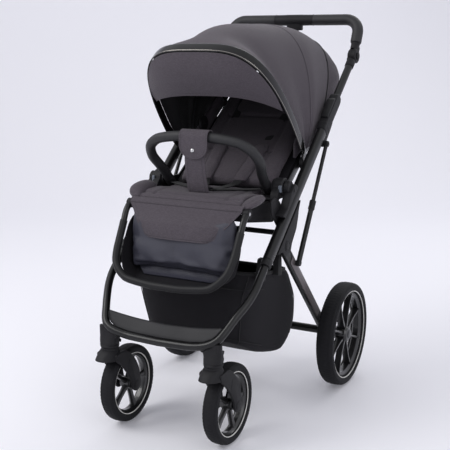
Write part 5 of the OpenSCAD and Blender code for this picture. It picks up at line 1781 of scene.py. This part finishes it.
buckle = [slab("buckle", rounded([(140.5, 612.6), (173.5, 612.6), (173.5, 622), (168, 625.2), (146, 625.2),
          (140.5, 622)], 3, 4), -21.5, 21.5, "plastic", 2.6, 3),
          button("buckleButton", at(0, 157, 624.6), upwards, 10.5, 4.0, "buttonGrey", 0.25, 36)]
place(joined("harnessBuckle", buckle), "seat", "plastic_black", "harness_buckle")
for side, sx in sides:
    path = spline([at(sx * x, y, z) for x, y, z in ((20, 158, 619), (40, 168, 621), (70, 186, 621),
        (105, 208, 620), (132, 228, 620))], 5)
    strap = swept(side + "WaistWebbing", path, boxSection(24, 1.8, 0, 0, 16, 5), rearwards, "webbing")
    place(strap, "seat", "black_fabric")
    tongue = slab("tongue", rounded([(150, 617), (165, 617), (165, 622.5), (150, 622.5)], 2, 3),
        *sorted((21.8 * sx, 36 * sx)), "plastic", 1.2, 2)
    tongue.name = side + "BuckleTongue"
    place(tongue, "seat", "plastic_black")
print("stage: seat")


footPoints = atAll([(174, 60, 581), (174, 46, 566), (173, 30, 536), (172, 10, 500), (170, -6, 474),
                    (164, -21, 450), (151, -32, 432),
                    (134, -38, 418), (112, -42, 409), (54, -47, 403.5), (25, -48, 402.5), (0, -48, 402.5)])
footPath = acrossPath(spline(footPoints, 5))
footUpper = [p for p in footPath if p.z > 0.534]
footLower = [p for p in footPath if p.z <= 0.545]
footTube = [swept("tube", footLower, oval(19.8, 19.8, 24), Vector((0, 1, -0.35)), "plastic")]
for sx in (1, -1):
    run = [p for p in footUpper if p.x * sx > 0]
    footTube.append(swept("upper", run, oval(16.4, 16.4, 24), Vector((0, 1, -0.35)), "frame"))
footHubs = []
for sx in (1, -1):
    low, high = sorted((163.6 * sx, 181.2 * sx))
    footHubs.append(lathe("hub", drum(low, high, 11.5, 12.9, 11.2, 1.4, 1.6, 5.1),
        at(0, *seat["footrestPivot"]), "plasticSoft", 48, 30))
    footHubs.append(button("cap", at(180.2 * sx, *seat["footrestPivot"]),
        Vector((sx, 0, 0)), 5, 1.0, "steel", 0.4, 24))
place(joined("footrestTube", footTube + footHubs), "footrest", "frame_black", "footrest_tube")


def insideTube(z):  # half width of the clear space inside the footrest tube
    table = [(402, 60), (406, 88), (411, 108), (420, 126), (434, 142), (452, 153.5),
        (476, 159.5), (500, 161.5), (552, 162.5)]
    return along1d(table, z)


def makeFootBack():
    side = [(66, 552), (74.5, 520), (76, 500), (68, 470), (53, 431), (44, 418), (31, 409.5),
        (8, 404.5), (-20, 401.5), (-36.5, 400.5)]
    lip = [(60, 552), (40, 534), (22, 505), (6, 478), (-8, 458), (-18, 442), (-27, 430),
        (-32, 419), (-34, 410), (-36.5, 404)]
    back = spline([Vector((p[0], p[1], 0)) for p in side], 3)
    edges = spline([Vector((p[0], p[1], 0)) for p in lip], 3)
    rows = []
    for v, e in zip(back, edges):
        edgeHalf = insideTube(e.y) - 0.8
        half = min(158, edgeHalf)
        row = []
        for j in range(57):
            c = -1 + 2 * j / 56
            turn = max(0, (abs(c) - 0.76) / 0.24)  # the sides turn forward to the tube
            x = half * 0.97 * min(abs(c) / 0.76, 1) * (1 - turn) + edgeHalf * turn
            ease = turn ** 1.4
            row.append(at(copysign(x, c), (v.x - 2.6) * (1 - ease) + e.x * ease, v.y * (1 - ease) + e.y * ease))
        rows.append(row)
    return list(reversed(rows))


footBack = gridSheet("footrestShell", makeFootBack(), "basketCloth", 3.4, "basketCloth", 1, 0.0)
place(footBack, "footrest", "black_fabric", "footrest_shell")
declareSheet(footBack)


def makeFootBand():
    side = [(46.5, 432), (42, 425), (35.5, 418.5), (28, 413.5), (19, 410.5)]
    rows = []
    for i, v in enumerate(spline([Vector((p[0], p[1], 0)) for p in side], 3)):
        half = 140 - 40 * i / 12
        row = []
        for j in range(41):
            c = -1 + 2 * j / 40
            row.append(at(c * half, v.x - 5.2 + 0.6 * noiseAt(Vector((c * 3, i / 4, 2)), 1.5), v.y + 0.8))
        rows.append(row)
    return list(reversed(rows))


bandRows = makeFootBand()
footBand = gridSheet("footrestBand", bandRows, "slate", 2.4, "slate", 1, 0.0)
place(footBand, "footrest", "calf_leather")
bandHem = place(joined("footrestBandHem", [swept("h", bandRows[-1], oval(3.4, 3.4, 10), rearwards, "slate")]),
    "footrest", "calf_leather")
declareSheet(footBand)


def makeCalfPad():
    def where(a, b, c):
        z = 497 + b
        s = (z - 428) / 138
        half = 141 + 15 * min(max(s * 1.6, 0), 1) ** 0.6 - 9 * max(0, s - 0.55) ** 1.2
        front, rear = padFront(z), along1d([(420, 36), (437, 42), (466, 54), (500, 70), (556, 57), (574, 54)], z)
        y = (front + rear) / 2 + c / 24 * (rear - front) * 0.78
        return at(a / 148 * half, y, z)
    pad = boxPad("calfPad", where, 300, 146, 24, "slate", (30, 16, 4))
    puff(pad, 5.0, 3.4, 9)
    pressSeam(pad, [at(-128 + 256 * i / 30, 20, 436 + 2 * sin(i / 3)) for i in range(31)], 3.6, 6)
    mesh = pad.data
    for v in mesh.vertices:
        p = v.co
        x, z = p.x * 1000, p.z * 1000
        if v.normal.y < 0.1:  # gathers that rise from the low edge
            depth = exp(-((z - 444) / 26) ** 2)
            p.y -= 0.0020 * depth * sin(x / 13 + 0.8 * sin(z / 9)) + 0.0012 * exp(-((z - 470) / 30) ** 2) * sin(x / 29
                + z / 16)
    wrinkle(pad, 1.8, 17, 8.0, (0.7, 1, 1.4))
    clothUv(pad)
    return pad


calfPad = makeCalfPad()
place(calfPad, "footrest", "calf_leather", "calf_pad")
print("stage: footrest")


turn = radians(133)
bumperPoints = [at(151, 226 + u * cos(turn), 632 + u * sin(turn)) for u in (0.3, 12, 24)] + atAll([
    (155, 188, 672), (162, 163, 700), (152, 139, 730), (128, 127, 749), (96, 119, 758),
    (48, 112, 764), (0, 109, 766)])
barPath = acrossPath(spline(bumperPoints, 5))
barSide = Vector((0, 1, 0.6))
bar = swept("bar", barPath, oval(27, 27, 32), barSide, "grip", lambda t: 1.0 + 0.006 * sin(90 * t))
tips = [swept("tip", [at(151 * s, 226 + u * cos(turn), 632 + u * sin(turn)) for u in (-20, 0, 3)],
    oval(13.8, 13.8, 20), sideways, "plastic") for s in (1, -1)]
under = []
for i, p in enumerate(barPath):
    ahead = (barPath[min(i + 1, len(barPath) - 1)] - barPath[max(i - 1, 0)]).normalized()
    low = ahead.cross(barSide).normalized()
    under.append(p + low * (0.0136 if low.z < 0 else -0.0136))
ridge = swept("ridge", under[2:-2], oval(2.4, 1.6, 8), lambda p: barSide, "grip")
place(joined("bumperBar", [bar, ridge] + tips), "bumper", "grip_leather", "bumper_bar")


strapOff = 6  # the strap sits a little to the left on the bar


def makeStrap():
    cy, cz, r = 110, 765.3, 17.2
    wrap = []
    for i in range(15):  # over the bar, from the back to the front
        a = radians(-35 + 215 * i / 14)
        wrap.append((cy + r * cos(a), cz + r * sin(a), 40.5))
    for i in range(1, 13):
        t = i / 12
        y = cy - r - 1.2 * sin(pi * t) + 2.0 * t
        z = cz - 56 * t
        half = 40.5 if t < 0.35 else 40.5 * sqrt(max(1 - ((t - 0.35) / 0.66) ** 2.3, 0.02))
        wrap.append((y, z, half))
    rows = []
    for y, z, half in wrap:
        rows.append([at(strapOff + half * c, y - 0.6 * (1 - c * c), z) for c in [-1 + 2 * j / 24 for j in range(25)]])
    return rows


strapRows = makeStrap()
# the strap flap's underside takes the shaded melange copy, a painted shade
strapTop = gridSheet("strapFlap", list(reversed(strapRows)), "melange", 2.4, "melangeShaded", 1, 0.0)
place(strapTop, "bumper", "melange_fabric", "crotch_strap")
edge = [row[0] for row in strapRows[6:]] + strapRows[-1][1:-1] + [row[-1] for row in reversed(strapRows[6:])]
stitchPath = []
for p in edge:
    centre = at(strapOff, (p.y - axleY) * 1000, max(p.z * 1000, 738))
    inward = (centre - p)
    stitchPath.append(p + inward.normalized() * 0.004 + Vector((0, -0.0017, 0)))
flapStitch = stitches("flapStitch", stitchPath, lambda p: Vector((0, -1, 0)), "thread", 4.2, 2.8, 0.45)
binding = swept("binding", [p + Vector((0, -0.0005, 0)) for p in edge], oval(2.6, 2.6, 8),
    lambda p: Vector((0.02, 1, 0.1)), "melange")
snap = button("snap", at(strapOff - 1, 90.6, 731), Vector((0, -1, 0.05)), 5.4, 2.2, "steel", 0.8, 32)
strapTrim = place(joined("strapTrim", [flapStitch, binding, snap]), "bumper", "melange_fabric")
declareSheet(strapTop)


def makeLowerStrap():
    side = spline([Vector((96.5, 752, 27)), Vector((97.5, 730, 28)), Vector((101, 700, 29)), Vector((107, 665, 29.5)),
        Vector((114, 635, 30)), Vector((119, 622, 30)), Vector((123, 616.5, 30))], 5)
    rows = []
    for i, v in enumerate(side):
        rows.append([at(strapOff + v.z * c, v.x + 0.9 * noiseAt(Vector((c * 2, i / 5, 4)), 1.2) - 1.0 * (1 - c * c),
            v.y) for c in [-1 + 2 * j / 16 for j in range(17)]])
    return rows


lowerRows = makeLowerStrap()
# the crotch strap's underside takes the shaded melange copy, a painted shade
lowerStrap = gridSheet("crotchStrap", list(reversed(lowerRows)), "melange", 3.2, "melangeShaded", 1, 0.0)
place(lowerStrap, "bumper", "melange_fabric")
seams = [stitches("s", [row[j] + Vector((0, -0.0022, 0)) for row in lowerRows], Vector((0, -1, 0)), "thread",
    4.2, 2.8, 0.45) for j in (2, 14)]
lowerTrim = place(joined("crotchStrapStitches", seams), "bumper", "melange_fabric")
declareSheet(lowerStrap)
print("stage: bumper bar")


walls = {"side": [((85, 423.2), (317, 387.2)), ((75, 402), (350, 366)),
                  ((56.5, 362), (429.5, 280)), ((61, 300), (464.5, 220)),
                  ((66, 258), (452, 184)), ((74, 238), (432, 164))],
         "at": [0, 0.13, 0.38, 0.7, 0.88, 1.0]}
floorSide = [Vector(p) for p in ((74, 238), (177, 181.5), (262, 150.5), (333, 139), (432, 164))]
basketShape = {"rimHalf": 183.2, "floorHalf": 150, "corner": 0.3}


def alongLine(line, s):
    total = sum((b - a).length for a, b in zip(line, line[1:]))
    want = s * total
    for a, b in zip(line, line[1:]):
        span = (b - a).length
        if want <= span or b is line[-1]:
            return a + (b - a) * min(want / span, 1)
        want -= span


def wallEnds(fall):  # where the front and the back wall stand at this height
    marks = walls["at"]
    for i in range(len(marks) - 1):
        if fall <= marks[i + 1] or i == len(marks) - 2:
            t = max(0, min(1, (fall - marks[i]) / (marks[i + 1] - marks[i])))
            a, b = walls["side"][i], walls["side"][i + 1]
            return [Vector(a[k]).lerp(Vector(b[k]), t) for k in (0, 1)]


def basketPoint(v, a):  # v is 0 at the rim, 1 where wall meets floor, 2 at the floor's middle
    c, s = cos(a), sin(a)
    p = basketShape["corner"] + 0.12 * min(v, 1)
    x, along = copysign(abs(c) ** p, c), copysign(abs(s) ** p, s)
    fall = min(v, 1.0)
    shrink = 1 - max(0.0, v - 1.0)
    x, along = x * shrink, along * shrink
    share = 0.5 + 0.5 * along
    front, back = wallEnds(fall)
    side = front.lerp(back, share)
    floor = alongLine(floorSide, share)
    side = side + (floor - side) * max(0, (fall - 0.3) / 0.7) ** 1.6
    half = basketShape["rimHalf"] + (basketShape["floorHalf"] - basketShape["rimHalf"]) * max(0, fall - 0.1) / 0.9
    crease = noiseAt(Vector((x * 1.7, share * 3, v * 1.2)), 1.9) * 2.4 * min(1,
        v * 3) + 0.9 * sin(share * 31 + x * 5) * (1 - fall) * min(1, v * 8)
    crease += 2.2 * exp(-((fall - 0.86) / 0.05) ** 2)
    z = side.y + (0.6 * sin(share * 17) if v < 1e-6 else 0)
    x = x * half + (crease - 1) * (abs(x) > 0.8) * copysign(1, x)
    y = side.x + (crease - 1) * (abs(along) > 0.9) * (-1 if along < 0 else 1) * (fall > 0.05)
    return at(x, y, max(z, 139) + crease * 0.5 * (v > 1))


turns = 96
levels = [0, 0.04, 0.1, 0.18, 0.27, 0.36, 0.46, 0.56, 0.66, 0.75, 0.83, 0.9, 0.95, 0.985, 1.02, 1.07, 1.14,
    1.24, 1.36, 1.5, 1.66, 1.82, 1.94]
bagRows = []
for v in reversed(levels):
    ring = [basketPoint(v, 2 * pi * (i + 0.5) / turns) for i in range(turns)]
    bagRows.append(ring + [ring[0]])


def bagSheet(name, rows, paint, lining, thickness):
    piece = gridSheet(name, rows, paint, 0, lining, 0)
    cut = list(piece["cut"])
    work = bmesh.new()
    work.from_mesh(piece.data)
    bmesh.ops.remove_doubles(work, verts=work.verts, dist=1e-6)
    last = [e for e in work.edges if e.is_boundary]
    low = min(v.co.z for v in work.verts)
    floorEdges = [e for e in last if max(v.co.z for v in e.verts) < low + 0.03]
    bmesh.ops.contextual_create(work, geom=floorEdges)
    for _ in range(5):  # softens the folds where the walls turn into the floor
        inner = [v for v in work.verts if not v.is_boundary]
        bmesh.ops.smooth_vert(work, verts=inner, factor=0.4, use_axis_x=True, use_axis_y=True, use_axis_z=True)
    area = sum(f.calc_area() for f in work.faces)
    work.to_mesh(piece.data)
    work.free()
    thick = piece.modifiers.new("thickness", "SOLIDIFY")
    thick.thickness = thickness / 1000
    thick.offset = -1
    thick.material_offset = 1
    thick.material_offset_rim = 0
    bake(piece)
    softenEdges(piece.data, 60)
    piece["cut"] = (cut[0], max(cut[1], area / cut[0]), area)
    return piece


bag = bagSheet("basketBag", bagRows, "basketCloth", "basketCloth", 2.4)
place(bag, "chassis", "black_fabric", "basket")
rimLoop = bagRows[-1][:-1]
hemParts = [swept("hem", rimLoop, oval(4.6, 9, 14), lambda p: Vector((p.x, p.y - at(0, 200, 0).y, 0)),
    "webbing", None, False, 50, True)]


def bagAngle(share):
    along = 2 * share - 1
    return asin(max(-1, min(1, copysign(abs(along) ** (1 / basketShape["corner"]), along))))


for sx in (1, -1):  # corner seams
    for share in (0.05, 0.94):
        path = []
        for i in range(17):
            a = bagAngle(share)
            p = basketPoint(0.03 + 0.95 * i / 16, a if sx > 0 else pi - a)
            path.append(p + Vector((sx * 0.0006, 0, 0)))
        hemParts.append(swept("sideSeam", path, oval(3.2, 1.4, 8), rearwards, "webbing"))
for v, wide in ((0.24, 1.6), (0.84, 1.2)):  # the seam under the mesh band and the fold near the floor
    path = []
    for i in range(49):
        a = -pi * (0.02 + 0.96 * i / 48)
        p = basketPoint(v, a)
        path.append(p + Vector((0, -0.0005, 0)))
    hemParts.append(swept("frontSeam", path, oval(1.4, wide * 2, 8), rearwards, "webbing"))
hem = place(joined("basketHem", hemParts), "chassis", "black_fabric")
tabs = []
for sx in (1, -1):
    low, high = sorted((182.4 * sx, 199.6 * sx))
    tabs.append(slab("tab", rounded([(92, 404), (122, 402), (130, 462), (108, 462)], 5, 3), low, high, "webbing", 1.5,
        2))
    tabs.append(slab("tab", rounded([(198, 397), (224, 393), (219, 470), (203, 470)], 5, 3), low, high, "webbing",
        1.5, 2))
tabPiece = place(joined("basketTabs", tabs), "chassis", "black_fabric")
for piece in (bag, hem, tabPiece):
    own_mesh(piece)
declareSheet(bag)


def makeAdapters():
    parts = []
    spot = railYz(218, -39)
    for sx in (1, -1):
        low, high = sorted((200 * sx, 222.8 * sx))
        parts.append(slab("plate", rounded([railYz(134, -16.1), railYz(242, -16.1), railYz(233, -39),
            railYz(203, -39), railYz(156, -25.5), railYz(126, -33)], 5, 4), low, high, "plasticSoft", 2.2, 3))
        low, high = sorted((196.6 * sx, 199.8 * sx))
        outline = [(152, 604), (176, 611), (205, 597), (238, 556), (232, 526), (196, 526), (158, 566)]
        parts.append(slab("web", rounded(outline, 7, 4), low, high, "plasticSoft", 1.0, 2))
        inner, outer = 199.9 * sx, 215 * sx
        low, high = sorted((inner, outer))
        parts.append(lathe("disc", drum(low, high, 16.5, 17.8, 16, 1.4, 1.8), at(0, *spot), "plasticSoft", 56, 30))
        parts.append(button("cap", at(222.6 * sx, *railYz(218, -30)),
            Vector((sx, 0, 0)), 5.2, 1.6, "plastic", 0.4, 28))
    return joined("seatAdapters", parts)


place(makeAdapters(), "chassis", "plastic_black", "seat_adapters")
print("stage: basket and adapters")

print("stage: finished")
